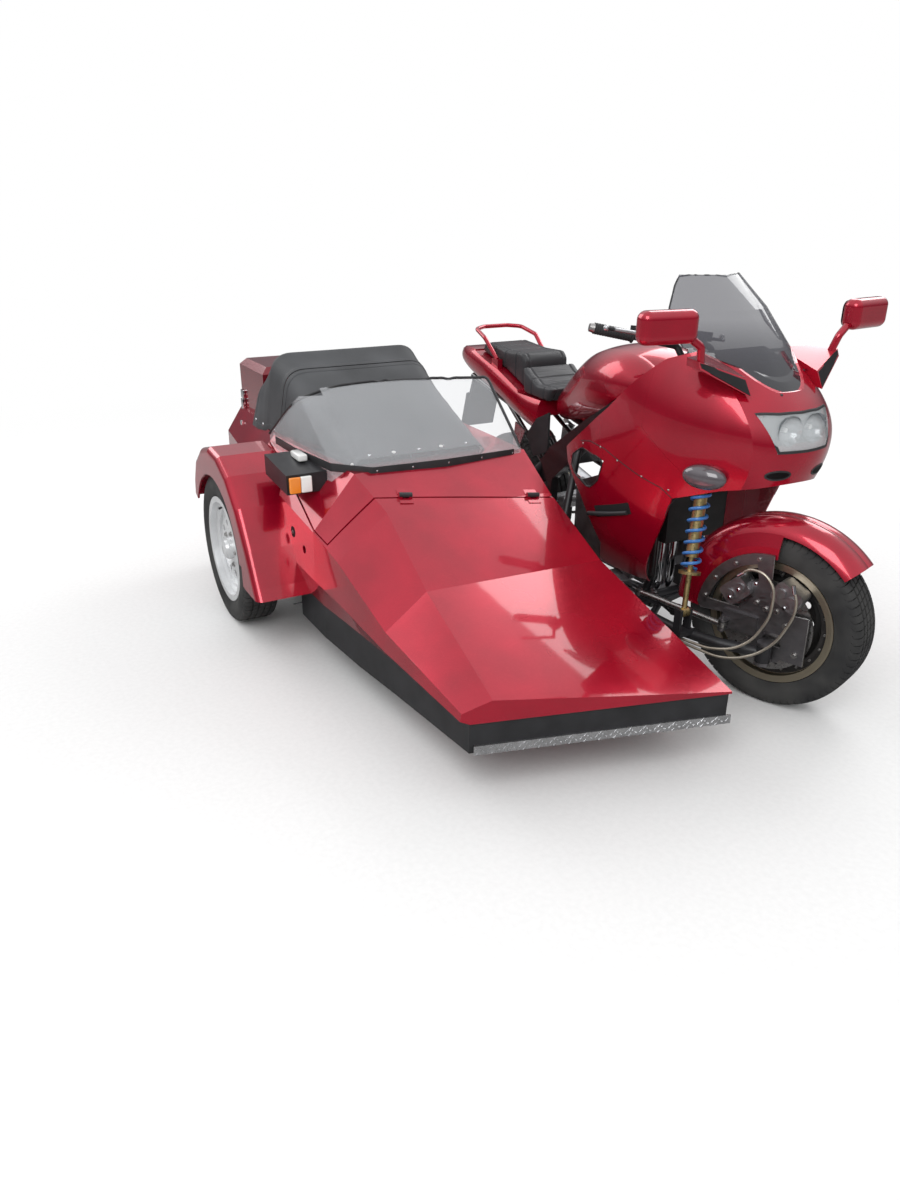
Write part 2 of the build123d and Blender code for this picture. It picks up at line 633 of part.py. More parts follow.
def fairing_shell():
    """Thin walled fairing cut to its side outline."""
    shell = fairing_solid(0) - fairing_solid(PANEL)
    shell &= side_prism(FAIRING_SIDE, (-400, 400))
    return shell


def fairing_pieces():
    """Upper fairing, headlamp lens and the two side panels."""
    shell = fairing_shell()
    upper_zone = side_prism(SPLIT_LINE, (-400, 400))
    lamp_zone = plan_like_lamp(0)
    upper = (shell & upper_zone) - plan_like_lamp(SEAT_GAP)
    lens = (fairing_solid(1) - fairing_solid(10)) & lamp_zone
    sides = shell - side_prism([(x - SEAM, z - SEAM) for x, z in SPLIT_LINE], (-400, 400))
    vent = side_prism([(-560, 720), (-590, 640), (-640, 600), (-760, 640), (-770, 690), (-690, 740)], (-400, 400))
    sides -= vent
    left = sides & block((-900, 200), (SEAM, 400), (200, 1300))
    right = sides & block((-900, 200), (-400, -SEAM), (200, 1300))
    return upper, lens, left, right


def plan_like_lamp(inset):
    """Zone of the headlamp, a lens wider at its top than at its foot."""
    points = [(-150 - inset, 958 + inset), (150 + inset, 958 + inset), (104 + inset, 842 - inset),
              (-104 - inset, 842 - inset)]
    outline = Polyline(*[(-190, y, z) for y, z in points], close=True)
    return extrude(make_face(outline), amount=260, dir=(1, 0, 0))


def screen_volume(inset):
    """Volume behind the screen's curved face."""
    rings = []
    for z, middle_x, (edge_x, edge_y) in SCREEN_LEVELS:
        side = (edge_x, edge_y - inset, z)
        other = (edge_x, inset - edge_y, z)
        rings.append(Wire([ThreePointArc(other, (middle_x - inset, 0, z), side).edge(), Line(side, other).edge()]))
    return Solid.make_loft(rings, ruled=True)


def bike_windscreen():
    """Curved screen whose lip lies behind the fairing's upper edge."""
    face = [(-60, 1003), (-92, 1010), (-190, 1072), (-300, 1114), (-352, 1118), (-420, 1170), (-462, 1235),
            (-486, 1290), (-500, 1340), (0, 1340)]
    lip = [(-60, 987), (-92, 993), (-190, 1055), (-300, 1097), (-330, 1100), (-330, 1120), (-300, 1120),
           (-190, 1078), (-92, 1016), (-60, 1009)]
    behind = screen_volume(SCREEN_T)
    pane = (screen_volume(0) - behind) & side_prism(face, (-300, 300))
    seat = (fairing_solid(PANEL + SEAT_GAP) - behind) & side_prism(lip, (-300, 300))
    return pane + seat


def tank_section(x, low, high, half_low, half_wide, wide_z, half_top):
    """One cross section of the tank, flat below and rounded above."""
    points = [(x, -half_low, low), (x, half_low, low)]
    flank = ThreePointArc((x, half_low, low), (x, half_wide, wide_z), (x, half_top, high - 14))
    crown = ThreePointArc((x, half_top, high - 14), (x, 0, high), (x, -half_top, high - 14))
    back = ThreePointArc((x, -half_top, high - 14), (x, -half_wide, wide_z), (x, -half_low, low))
    return Wire([Line(*points).edge(), flank.edge(), crown.edge(), back.edge()])


# Tank by station: x, underside, top, half widths at the underside, at the flank and its height, at the crown
TANK_STATIONS = [
    (-535, 905, 968, 100, 130, 938, 80),
    (-640, 860, 1052, 160, 200, 950, 110),
    (-850, 800, 1056, 150, 195, 930, 110),
    (-1030, 750, 980, 110, 145, 860, 80),
    (-1160, 730, 860, 80, 105, 800, 60),
]


def fuel_tank():
    """Tank between the spars, cut clear of them."""
    body = Solid.make_loft([tank_section(*station) for station in TANK_STATIONS])
    spar_zone = side_prism([(-400, 1010), (-560, 972), (-830, 806), (-1060, 646), (-1200, 560), (-1200, 400), (-400, 400)],
                           (SPAR_IN - SEAT_GAP, SPAR_OUT + 60))
    body -= both(spar_zone)
    cap = Pos(-690, 0, 1046) * Cylinder(38, 16)
    return body + cap


def saddle(points, half, corner, edge):
    """Padded piece from a side outline with rounded corners and rounded side edges."""
    with BuildSketch(Plane.XZ) as outline:
        with BuildLine():
            Polyline(*points, close=True)
        make_face()
        fillet(outline.vertices(), corner)
    pad = extrude(outline.sketch, amount=half, both=True)
    return fillet(pad.faces().filter_by(Axis.Y).edges(), edge)


# Top edge of the tail below the seats, seen from the side
SEAT_LINE = [(-1100, 780), (-1390, 796), (-1402, 808), (-1560, 866), (-1772, 922)]


def seat_floor(x):
    """Height of the seats' underside at a given x."""
    for (x0, z0), (x1, z1) in zip(SEAT_LINE, SEAT_LINE[1:]):
        if x1 <= x <= x0:
            return z0 + (z1 - z0) * (x - x0) / (x1 - x0) + SEAT_GAP
    return SEAT_LINE[-1][1]


def seat():
    """Rider's dished seat and raised pillion seat."""
    rider = saddle([(-1168, 850), (-1200, seat_floor(-1200)), (-1384, seat_floor(-1384)), (-1397, 914), (-1350, 882),
                    (-1276, 846)], 132, 9, 8)
    pillion = saddle([(-1404, seat_floor(-1404)), (-1402, 925), (-1430, 952), (-1560, 948), (-1738, 962),
                      (-1766, seat_floor(-1766)), (-1560, seat_floor(-1560))], 112, 8, 7)
    return rider + pillion


def tail_section(x, low, high, half_low, half_high):
    """One cross section of the tail."""
    return Wire([Line((x, -half_low, low), (x, half_low, low)).edge(),
                 ThreePointArc((x, half_low, low), (x, half_high, (low + high) / 2), (x, half_high - 20, high)).edge(),
                 Line((x, half_high - 20, high), (x, -half_high + 20, high)).edge(),
                 ThreePointArc((x, -half_high + 20, high), (x, -half_high, (low + high) / 2), (x, -half_low, low)).edge()])


# Tail by station: x, underside, top, half width below, half width
TAIL_STATIONS = [
    (-1240, 660, 796, 130, 150),
    (-1420, 700, 826, 130, 158),
    (-1700, 780, 915, 120, 160),
    (-1900, 830, 925, 80, 130),
    (-1962, 852, 912, 50, 100),
]


def tail_cowl():
    """Tail that tapers up to the rear, open below the seat for the seat rails."""
    body = Solid.make_loft([tail_section(*station) for station in TAIL_STATIONS])
    tunnel = side_prism([(-1200, 600), (-1200, 716), (-1500, 766), (-1890, 846), (-1890, 700)], (-100, 100))
    seat_room = side_prism([*SEAT_LINE, (-1772, 1000), (-1100, 1000)], (-200, 200))
    return body - tunnel - seat_room - both(seat_rail(RAIL_R + SEAT_GAP))


def grab_rail():
    """Rail round the rear of the pillion seat."""
    side = tube([(-1600, 128, 905), (-1700, 134, 985), (-1800, 118, 1010), (-1832, 62, 1014), (-1832, 0, 1014)], 9, 34)
    foot = block((-1625, -1575), (116, 140), (860, 908))
    return both(side + foot) - Pos(0, 0, SEAT_GAP) * tail_cowl()


def rear_guard():
    """Rear mudguard below the tail, with a bare plate bracket."""
    guard = side_prism([(-1560, 778), (-1885, 844.6), (-1885, 820), (-1896, 812), (-1968, 640), (-2003, 560),
                        (-1995, 556), (-1950, 640), (-1880, 800), (-1560, 760)], (-70, 70))
    plate = side_prism([(-1936, 700), (-1990, 530), (-1984, 528), (-1930, 698)], (-90, 90))
    return guard + plate


def tail_lamp():
    """Lamp across the rear of the tail."""
    return side_prism([(-1962.3, 908), (-1974, 890), (-1970, 856), (-1962.3, 856)], (-92, 92))


def side_cover():
    """Black cover below the seat, left side."""
    cover = side_prism([(-1140, 760), (-1230, 720), (-1300, 640), (-1240, 560), (-1140, 600)], (150, 158))
    for x, z in ((-1176, 646), (-1224, 658)):
        cover += rod((x, 100, z), (x, 152, z), 8)
    return cover - seat_rail(RAIL_R + SEAT_GAP)


MIRROR = (-200.0, 416.0, 1207.0)
MIRROR_SIZE = (62.0, 190.0, 96.0)


def mirror_head(y_sign):
    """Mirror on a stalk above a wing that is seated on the fairing's shoulder."""
    x, y, z = MIRROR
    head = Pos(x, y_sign * y, z) * Rot(0, 0, y_sign * 8) * Box(*MIRROR_SIZE)
    head = fillet(head.edges().filter_by(GeomType.LINE), 26)
    stalk = tube([(x + 5, y_sign * (y - 70), z - 24), (x + 14, y_sign * (y - 124), z - 62),
                  (x + 4, y_sign * (y - 138), z - 112)], 12, 20)
    root = [(-100, y_sign * 150, 1000), (-130, y_sign * 150, 1052), (-296, y_sign * 150, 1104),
            (-296, y_sign * 150, 1030)]
    tip = [(-176, y_sign * 296, 1082), (-186, y_sign * 296, 1104), (-236, y_sign * 296, 1110),
           (-236, y_sign * 296, 1086)]
    wing = skin(root, tip) - fairing_solid(-SEAT_GAP)
    return head + stalk + wing


def front_signals():
    """Smoked front signal lamps, bulging from the fairing's flanks."""
    pods = []
    for side in (-1, 1):
        pod = Pos(-172, side * 232, 748) * Rot(0, 0, -side * 23.6) * scale(Sphere(30), by=(2.4, 1.1, 1.3))
        pods.append(pod - fairing_solid(-SEAT_GAP))
    return pods


def handlebar():
    """Yoke, column and the two bars with grips, turned with the steering."""
    rake = math.radians(HEAD_RAKE)
    axis = Vector(-math.sin(rake), 0, math.cos(rake))
    head = Plane(origin=(HEAD_X, 0, HEAD_Z - 40), z_dir=(axis.X, axis.Y, axis.Z))
    at = (Align.CENTER, Align.CENTER, Align.MIN)
    column = head * Pos(0, 0, -HEAD_LENGTH / 2 - 12) * Cylinder(15, HEAD_LENGTH + 24, align=at)
    yoke_plane = head * Pos(0, 0, HEAD_LENGTH / 2 + MOVE_GAP)
    yoke = yoke_plane * Pos(-8, 0, 11) * fillet(Box(86, 240, 22).edges().filter_by(Axis.Z), 36)
    bar = tube([(-482, 100, 1030), (-520, 112, 1084), (-600, 188, 1096), (-716, 326, 1113)], 11, 18)
    grip = rod((-626, 219, 1100), (-712, 321.5, 1112), 17)
    master = block((-636, -586), (186, 226), (1102, 1134))
    lever = tube([(-600, 222, 1112), (-560, 262, 1112), (-628, 372, 1120)], 6, 20)
    half = bar + grip + master + lever
    straight = column + yoke + both(half)
    return straight.rotate(Axis((HEAD_X, 0, HEAD_Z - 40), (axis.X, axis.Y, axis.Z)), STEER_REST)


def dash_panel():
    """Instrument panel behind the screen, held by a stay to each side of the fairing."""
    panel = side_prism([(-215, 1010), (-235, 1075), (-330, 1105), (-400, 1060), (-395, 1045), (-330, 1080),
                        (-250, 1040)], (-120, 120))
    stays = rod((-340, -400, 1086), (-340, 400, 1086), 6) & fairing_solid(PANEL + SEAT_GAP)
    return panel + stays


def oil_cooler():
    """Radiator behind the front wheel and the small cooler below it."""
    core = block((-460, -420), (-133.7, 133.7), (430, 690))
    lower = block((-438.7, -404), (-60, 150), (262, 330))
    return [core, lower]


# Sidecar body

# Stations from the nose back: x, inner top z, shoulder (y, z), flank (y, z)
TUB_STATIONS = [
    (270, 254, (-1148, 256), (-1203, 252)),
    (-380, 440, (-1100, 455), (-1240, 350)),
    (-690, 590, (-1085, 612), (-1262, 470)),
    (-870, 706, (-1120, 700), (-1276, 520)),
    (-1480, 716, (-1195, 712), (-1284, 600)),
    (-2150, 706, (-1130, 704), (-1200, 600)),
]


def tub_ring(station, inset, floor):
    """Closed outline of the body at one station."""
    x, top, shoulder, flank = station
    low_y = flank[0] - 4
    return [(x, INNER_Y - inset, floor), (x, INNER_Y - inset, top - inset),
            (x, shoulder[0] + inset * 0.6, shoulder[1] - inset), (x, flank[0] + inset, flank[1] - inset * 0.4),
            (x, low_y + inset, floor + (flank[1] - floor) * 0.35), (x, low_y + inset + 26, floor)]


def nose_station(x):
    """Station between the first two, at a given x."""
    (x0, top0, shoulder0, flank0), (x1, top1, shoulder1, flank1) = TUB_STATIONS[:2]
    share = (x - x0) / (x1 - x0)
    shoulder = [a + (b - a) * share for a, b in zip(shoulder0, shoulder1)]
    flank = [a + (b - a) * share for a, b in zip(flank0, flank1)]
    return (x, top0 + (top1 - top0) * share, shoulder, flank)


def tub_volume(inset, floor, front=TUB_STATIONS[0][0]):
    """Body volume as ruled spans between the stations, from a front end back."""
    stations = [nose_station(front), *TUB_STATIONS[1:]]
    rings = [Polyline(*tub_ring(station, inset, floor), close=True).wire() for station in stations]
    volume = Solid.make_loft(rings, ruled=True)
    return volume & block((TUB_REAR + inset, 600), (-1600, 0), (0, 1200))


TUB_REAR = -2118.0
ROOM_FRONT = 100.0
NOSE_INNER = (262.0, -440.0)
NOSE_OUTER = (52.0, -1200.0)


def nose_zone(back):
    """Everything behind the slanted nose face, set back by a distance."""
    slope = (NOSE_OUTER[0] - NOSE_INNER[0]) / (NOSE_OUTER[1] - NOSE_INNER[1])
    inner = (NOSE_INNER[0] - back + slope * 40, -400)
    outer = (NOSE_OUTER[0] - back - slope * 300, NOSE_OUTER[1] - 300)
    return plan_prism([inner, outer, (-2600, outer[1]), (-2600, -400)], (0, 1200))


def cowl_zone(gap):
    """Zone of the tilting cowl: ahead of it the nose, below it the tub."""
    x, y = SEAM_INNER
    right = [(x + gap, y, 1000), (x + gap, y, 585 - gap), (-1478, y, 690 - gap), (-1478, y, 1000)]
    x, y = SEAM_OUTER
    left = [(x + gap, y, 1000), (x + gap, y, 498 - gap), (-1478, y, 690 - gap), (-1478, y, 1000)]
    return skin(right, left)


def cowl_axis():
    """Axis of the cowl's two hinges, just above the seam: a point midway and its direction to the left."""
    inner, outer = Vector(*HINGE_INNER), Vector(*HINGE_OUTER)
    along = (inner - outer).normalized()
    rise = Vector(*DECK_SLOPE).cross(along).normalized() * (KNUCKLE_R + 1)
    return (inner + outer) * 0.5 + rise, along


def hinge_plane(foot):
    """Plane at a hinge: x down the deck to the front, z up from it, origin on the hinge's axis."""
    middle, along = cowl_axis()
    up = Vector(*DECK_SLOPE).cross(along).normalized()
    origin = Vector(*foot) + up * (KNUCKLE_R + 1)
    return Plane(origin=origin, x_dir=along.cross(up), z_dir=up)


def cowl_hinges():
    """Halves of the two hatch hinges: fixed knuckles with the pin, and the cowl's bored knuckle."""
    leaf_z = (-KNUCKLE_R - 2.5, LEAF_T - KNUCKLE_R - 1)
    arm_z = (-KNUCKLE_R + 0.5, 0)
    fixed = rod((0, -HINGE_HALF, 0), (0, HINGE_HALF, 0), HINGE_PIN_R)
    for side in (-1, 1):
        near, far = side * (KNUCKLE_HALF + 0.5), side * HINGE_HALF
        fixed += rod((0, near, 0), (0, far, 0), KNUCKLE_R)
        fixed += block((0, KNUCKLE_R + 4), (near, far), (leaf_z[0] + 2, arm_z[1] - 2))
    fixed += block((KNUCKLE_R + 2, HINGE_LEAF), (-HINGE_HALF, HINGE_HALF), leaf_z)
    moving = rod((0, -KNUCKLE_HALF, 0), (0, KNUCKLE_HALF, 0), KNUCKLE_R)
    moving += block((-KNUCKLE_R - 4, 0), (-KNUCKLE_HALF, KNUCKLE_HALF), (leaf_z[0] + 2, arm_z[1] - 2))
    moving += block((-HINGE_LEAF, -KNUCKLE_R - 2), (-HINGE_HALF, HINGE_HALF), leaf_z)
    moving -= rod((0, -HINGE_HALF, 0), (0, HINGE_HALF, 0), HINGE_PIN_R + RUN_CLEAR)
    feet = [hinge_plane(foot) for foot in (HINGE_INNER, HINGE_OUTER)]
    return [seat * fixed for seat in feet], [seat * moving for seat in feet]


def boot_hinges():
    """Two straps that rise from the deck with their pins, and the lid's bored knuckles."""
    straps = []
    knuckles = []
    axis_x, axis_z = BOOT_HINGE_X, BOOT_HINGE_Z
    for y in BOOT_HINGE_Y:
        strap = block((axis_x + 4, axis_x + 8), (y - 10, y + 10), (707, axis_z))
        strap += rod((axis_x, y - 10, axis_z), (axis_x, y + 10, axis_z), BOOT_KNUCKLE_R)
        strap += rod((axis_x, y - 22, axis_z), (axis_x, y + 22, axis_z), BOOT_PIN_R)
        straps.append(strap)
        for near, far in ((y + 10.5, y + 22), (y - 22, y - 10.5)):
            knuckle = rod((axis_x, near, axis_z), (axis_x, far, axis_z), BOOT_KNUCKLE_R)
            knuckle += block((axis_x - 14, axis_x), (near, far), (axis_z - 6, axis_z + 1))
            knuckles.append(knuckle - rod((axis_x, near, axis_z), (axis_x, far, axis_z), BOOT_PIN_R + RUN_CLEAR))
    return straps, knuckles


WHEEL_X = -WHEELBASE + SIDECAR_LEAD
WHEEL_Y = -TRACK
# Planes beside the sidecar wheel, all measured from its middle
GUARD_OUT = WHEEL_Y - 84.0
GUARD_IN = WHEEL_Y + 134.0
MOUTH_Y = WHEEL_Y + 72.0
WELL_IN = WHEEL_Y + 180.0
ARM_OUT = WHEEL_Y + 130.0
ARM_IN = WHEEL_Y + 170.0
OUT_RAIL_Y = WHEEL_Y + 210.0
CROSS_END_Y = WHEEL_Y + 250.0
HOLE_Y = WHEEL_Y + 95.0
HOLE_X = -960.0
HOLE_Z = 430.0
HOLE_R = 15.0


def guard_profile(low):
    """Side outline of the wheel guard: arch over the wheel that runs forward into the flank."""
    return [(-1782, 452), (-1768, 508), (-1716, 596), (-1620, 660), (-1500, 690), (-1380, 680),
            (-1270, 632), (-1170, 540), (-1080, 410), (-1010, 290), (-985, low)]


def wheel_guard():
    """Guard shell over the sidecar wheel."""
    foot = SKIRT_TOP_Z + SEAT_GAP
    outer = side_prism(guard_profile(foot) + [(-1120, foot), (-1470, 300)], (GUARD_OUT, GUARD_IN))
    outer_edges = outer.edges().filter_by_position(Axis.Y, GUARD_OUT - 1, GUARD_OUT + 1)
    crown = [edge for edge in outer_edges if edge.center().Z > 420]
    outer = fillet(crown, 26)
    room = Pos(WHEEL_X, 0, TYRE_R) * Rot(90, 0, 0) * Cylinder(TYRE_R + 26, 4000)
    room &= block((-2000, -1000), (GUARD_OUT + 7, -600), (0, 1000))
    mouth = Pos(WHEEL_X, 0, TYRE_R) * Rot(90, 0, 0) * Cylinder(TYRE_R + 4, 4000)
    mouth &= block((-2000, -1000), (GUARD_OUT - 60, MOUTH_Y), (0, 1000))
    below = block((-1800, -1152), (GUARD_OUT - 46, ARM_IN), (0, TYRE_R + 40))
    return outer - room - mouth - below


def wheel_drum(radius, inner_y):
    """Round space of the sidecar wheel, from outside the guard to an inner wall."""
    room = Pos(WHEEL_X, 0, TYRE_R) * Rot(90, 0, 0) * Cylinder(radius, 4000)
    return room & block((-2000, -1000), (GUARD_OUT + 7, inner_y), (0, 1000))


def sidecar_pieces():
    """Hollow tub with its wheel guard, and the tilting cowl."""
    room = tub_volume(TUB_WALL, SKIRT_TOP_Z + TUB_WALL, ROOM_FRONT) & nose_zone(TUB_WALL)
    shell = tub_volume(0, SKIRT_TOP_Z) - room
    shell &= nose_zone(0)
    cockpit = plan_prism([(-960, -590), (-960, -1086), (-1470, -1156), (-1640, -1168), (-1640, -506),
                          (-1470, -520)], (600, 1000))
    boot = block((-2070, -1790), (-1090, -490), (660, 1000))
    shell = shell - cockpit - boot
    cowl = shell & cowl_zone(0)
    tub = shell - cowl_zone(SEAM_GAP)
    well = wheel_drum(TYRE_R + 32, WELL_IN + TUB_WALL) & tub_volume(0, SKIRT_TOP_Z)
    tub = tub + well + wheel_guard() - wheel_drum(TYRE_R + 26, WELL_IN)
    tub -= Pos(HOLE_X, HOLE_Y, HOLE_Z) * Rot(90, 0, 0) * Cylinder(HOLE_R, 120)
    fixed, moving = cowl_hinges()
    for half in fixed + boot_hinges()[0]:
        tub += half
    for half in moving:
        cowl += half
    return tub, cowl


def skirt_outline(inset):
    """Outline of the lower band seen from above, just inside the tub's lower edge."""
    outer = [(x, flank[0] + 25 + inset) for x, top, shoulder, flank in TUB_STATIONS]
    return [(TUB_STATIONS[0][0], INNER_Y - 3 - inset), *outer, (TUB_STATIONS[-1][0], INNER_Y - 3 - inset)]


def sidecar_skirt():
    """Black lower band round the nose and the outer side, with the floor."""
    top = SKIRT_TOP_Z - SEAT_GAP
    outer = plan_prism(skirt_outline(0), (SKIRT_LOW_Z, top)) & nose_zone(8)
    inner = plan_prism(skirt_outline(TUB_WALL), (SKIRT_LOW_Z + TUB_WALL, top + 1)) & nose_zone(8 + TUB_WALL)
    inner &= block((TUB_REAR + TUB_WALL + 6, 600), (-1600, 0), (0, 1200))
    outer &= block((TUB_REAR + 6, 600), (-1600, 0), (0, 1200))
    band = outer - inner
    band -= wheel_drum(TYRE_R + 26, WELL_IN)
    band -= block((-1200, -1100), (GUARD_OUT + 54, OUT_RAIL_Y + 30), (SKIRT_LOW_Z - 5, top + 5))
    for x in LUG_X:
        band -= rod((x, -500, 205), (x, -400, 205), LUG_R + 4)
    lift = side_prism([(-620, 60), (-620, SKIRT_LOW_Z), (330, 168), (330, 60)], (-1600, 0))
    return band - lift


def nose_strip():
    """Bright strip along the nose's lower front edge, wrapped round its outer corner."""
    low = 150
    high = 178
    face_in = (NOSE_INNER[0] - 8, NOSE_INNER[1])
    slope = (NOSE_OUTER[0] - NOSE_INNER[0]) / (NOSE_OUTER[1] - NOSE_INNER[1])
    corner_y = -1176
    corner = (face_in[0] + slope * (corner_y - face_in[1]), corner_y)
    front = plan_prism([face_in, corner, (corner[0] + 5, corner[1] - 5), (face_in[0] + 5, face_in[1])], (low, high))
    return front


SCREEN_FOOT = 640.0
SCREEN_LOW = 713.0
SCREEN_HIGH = 926.0
# Bent pane seen from above, at its foot and at the height of its top rim
SCREEN_BASE = [(-858, -470), (-846, -780), (-862, -1060), (-955, -1168), (-1200, -1206), (-1462, -1216)]
SCREEN_TOP = [(-1118, -462), (-1240, -760), (-1232, -1010), (-1184, -1196), (-1330, -1212), (-1464, -1220)]


def screen_ring(points, z, inset):
    """Closed outline of a bent pane: its outer side and its inner side."""
    middle = (-1300, -830)
    inner = []
    for x, y in points:
        away = math.hypot(middle[0] - x, middle[1] - y)
        inner.append((x + (middle[0] - x) / away * inset, y + (middle[1] - y) / away * inset, z))
    return [(x, y, z) for x, y in points] + inner[::-1]


def sidecar_windscreen():
    """Bent screen on the cowl: a sloping front pane that wraps round the outer side."""
    pane = skin(screen_ring(SCREEN_BASE, SCREEN_LOW, 5), screen_ring(SCREEN_TOP, SCREEN_HIGH, 5))
    pane += skin(screen_ring(SCREEN_BASE, SCREEN_FOOT, 5), screen_ring(SCREEN_BASE, SCREEN_LOW, 5))
    fall = side_prism([(-1170, 960), (-1170, 912), (-1470, 722), (-1600, 722), (-1600, 960)], (-1400, -1100))
    return pane - fall - Pos(0, 0, SEAT_GAP) * tub_volume(0, SKIRT_TOP_Z)


# Hood stations: x, ridge z, ridge half width, hem z, hem half width
HOOD_STATIONS = [(-925, 728, 240, 690, 266), (-1600, 998, 305, 690, 354), (-1772, 872, 305, 690, 354)]
HOOD_MID_Y = -838.0


def hood_ring(station, inset):
    """Closed outline of the hood at one station."""
    x, ridge, half, hem, hem_half = station
    return [(x, HOOD_MID_Y + hem_half - inset, hem), (x, HOOD_MID_Y + half - inset * 0.5, ridge - inset),
            (x, HOOD_MID_Y - half + inset * 0.5, ridge - inset), (x, HOOD_MID_Y - hem_half + inset, hem)]


def hood_pieces():
    """Vinyl hood: the front part lies on the cowl, the rear part on the tub."""
    outer = Solid.make_loft([Polyline(*hood_ring(one, 0), close=True).wire() for one in HOOD_STATIONS], ruled=True)
    inner = Solid.make_loft([Polyline(*hood_ring(one, 6), close=True).wire() for one in HOOD_STATIONS], ruled=True)
    sheet = outer - Pos(0, 0, -0.5) * inner - Pos(0, 0, SEAT_GAP) * tub_volume(0, SKIRT_TOP_Z)
    front = sheet & block((-1477, -900), (-1400, -300), (600, 1100))
    rear = sheet & block((-1784, -1484), (-1400, -300), (600, 1100))
    return front, rear


def sidecar_seat():
    """Bench with an upright back."""
    floor = SKIRT_TOP_Z + TUB_WALL + SEAT_GAP
    base = fillet(block((-1640, -1180), (-1160, -520), (floor, 420)).edges(), 20)
    back = side_prism([(-1590, 420.3), (-1690, 420.3), (-1790, 640), (-1700, 640)], (-1160, -520))
    return [base, back]


def boot_lid():
    """Lid of the luggage box behind the hood, with chamfered top edges."""
    lid = block((-2112, -1788), (-1128, -480), (660, BOOT_TOP))
    lid = chamfer(lid.faces().sort_by(Axis.Z)[-1].edges(), 26)
    room = block((-2104, -1796), (-1120, -488), (640, BOOT_TOP - 8))
    room = chamfer(room.faces().sort_by(Axis.Z)[-1].edges(), 24)
    lid = lid - room - Pos(0, 0, SEAT_GAP) * tub_volume(0, SKIRT_TOP_Z)
    for knuckle in boot_hinges()[1]:
        lid += knuckle
    return lid


def sidecar_lamp():
    """Sheet bracket on the shoulder of the body with a position and turn lamp."""
    bracket = side_prism([(-985, 622), (-985, 690), (-1215, 712), (-1215, 640)], (-1318, -1150))
    pane = Pos(0, -SEAT_GAP, 0) * plan_prism(SCREEN_BASE, (SCREEN_FOOT - 1, SCREEN_LOW))
    return bracket - pane - Pos(0, -SEAT_GAP, SEAT_GAP) * tub_volume(0, SKIRT_TOP_Z)


def sidecar_lens():
    """Lens on the bracket's front face."""
    return block((-984.7, -968), (-1312, -1232), (628, 684))


# Sidecar chassis

LUG_X = (-560.0, -700.0, -1050.0, -1280.0)
LUG_R = 18.0
PAD_PLACES = [(-200, -508), (-900, -520), (-1800, -520), (-500, OUT_RAIL_Y + 17), (-1000, OUT_RAIL_Y + 3),
              (-1700, OUT_RAIL_Y + 103)]


def sidecar_chassis():
    """Tube frame below the body and the struts that fix it to the motorcycle."""
    inner = tube([(150, -500, 205), (-300, -520, 205), (-1950, -520, 205)], 20, 200)
    outer = tube([(-60, OUT_RAIL_Y + 100, 205), (-400, OUT_RAIL_Y + 20, 205), (-1090, OUT_RAIL_Y, 205)], 20, 200)
    frame = inner + outer
    for x, y in ((-100, OUT_RAIL_Y + 90), (-700, OUT_RAIL_Y + 10), (-1080, OUT_RAIL_Y)):
        frame += rod((x, -510, 205), (x, y, 205), 18)
    frame += rod((-1480, -520, 205), (-1480, CROSS_END_Y, 205), 20)
    frame += rod((-1080, CROSS_END_Y, 205), (-1480, CROSS_END_Y, 205), 20)
    frame += rod((-1900, -520, 205), (-1900, CROSS_END_Y + 120, 205), 18)
    frame += rod((-1480, CROSS_END_Y, 205), (-1900, CROSS_END_Y + 120, 205), 16)
    for x in LUG_X:
        frame += rod((x, -520, 205), (x, -412, 205), LUG_R)
    for x, y in PAD_PLACES:
        frame += rod((x, y, 205), (x, y, SKIRT_TOP_Z - SEAT_GAP), 16)
    return frame


def mount_struts():
    """Lower and upper struts between sidecar and motorcycle."""
    lower_front = rod((LUG_X[0], -411.7, 205), (LUG_X[0], -160, 192), 17)
    lower_rear = rod((LUG_X[2], -411.7, 205), (LUG_X[2], -160, 192), 17)
    upper_front = rod((LUG_X[1], -418, 216), (-880, -190, 700), 14)
    upper_rear = rod((LUG_X[3], -418, 216), (-1112, -190, 570), 14)
    seat = Pos(0, -SEAT_GAP, 0) * main_frame() + Pos(0, 0, SEAT_GAP) * sidecar_chassis()
    return [strut - seat for strut in (lower_front, lower_rear, upper_front, upper_rear)]


def sidecar_axle():
    """Trailing arm of the sidecar wheel with its stub axle and a short damper."""
    arm = side_prism([(-1120, 232), (-1120, 182), (-1180, 175), (WHEEL_X - 30, TYRE_R - 30), (WHEEL_X - 30, TYRE_R + 30),
                      (-1420, TYRE_R + 30)], (ARM_OUT, ARM_IN))
    pivot = rod((-1150, ARM_OUT - 5, 205), (-1150, CROSS_END_Y - 20 - SEAT_GAP, 205), 22)
    stub = rod((WHEEL_X, ARM_IN, TYRE_R), (WHEEL_X, WHEEL_Y - 62, TYRE_R), AXLE_R)
    return arm + pivot + stub


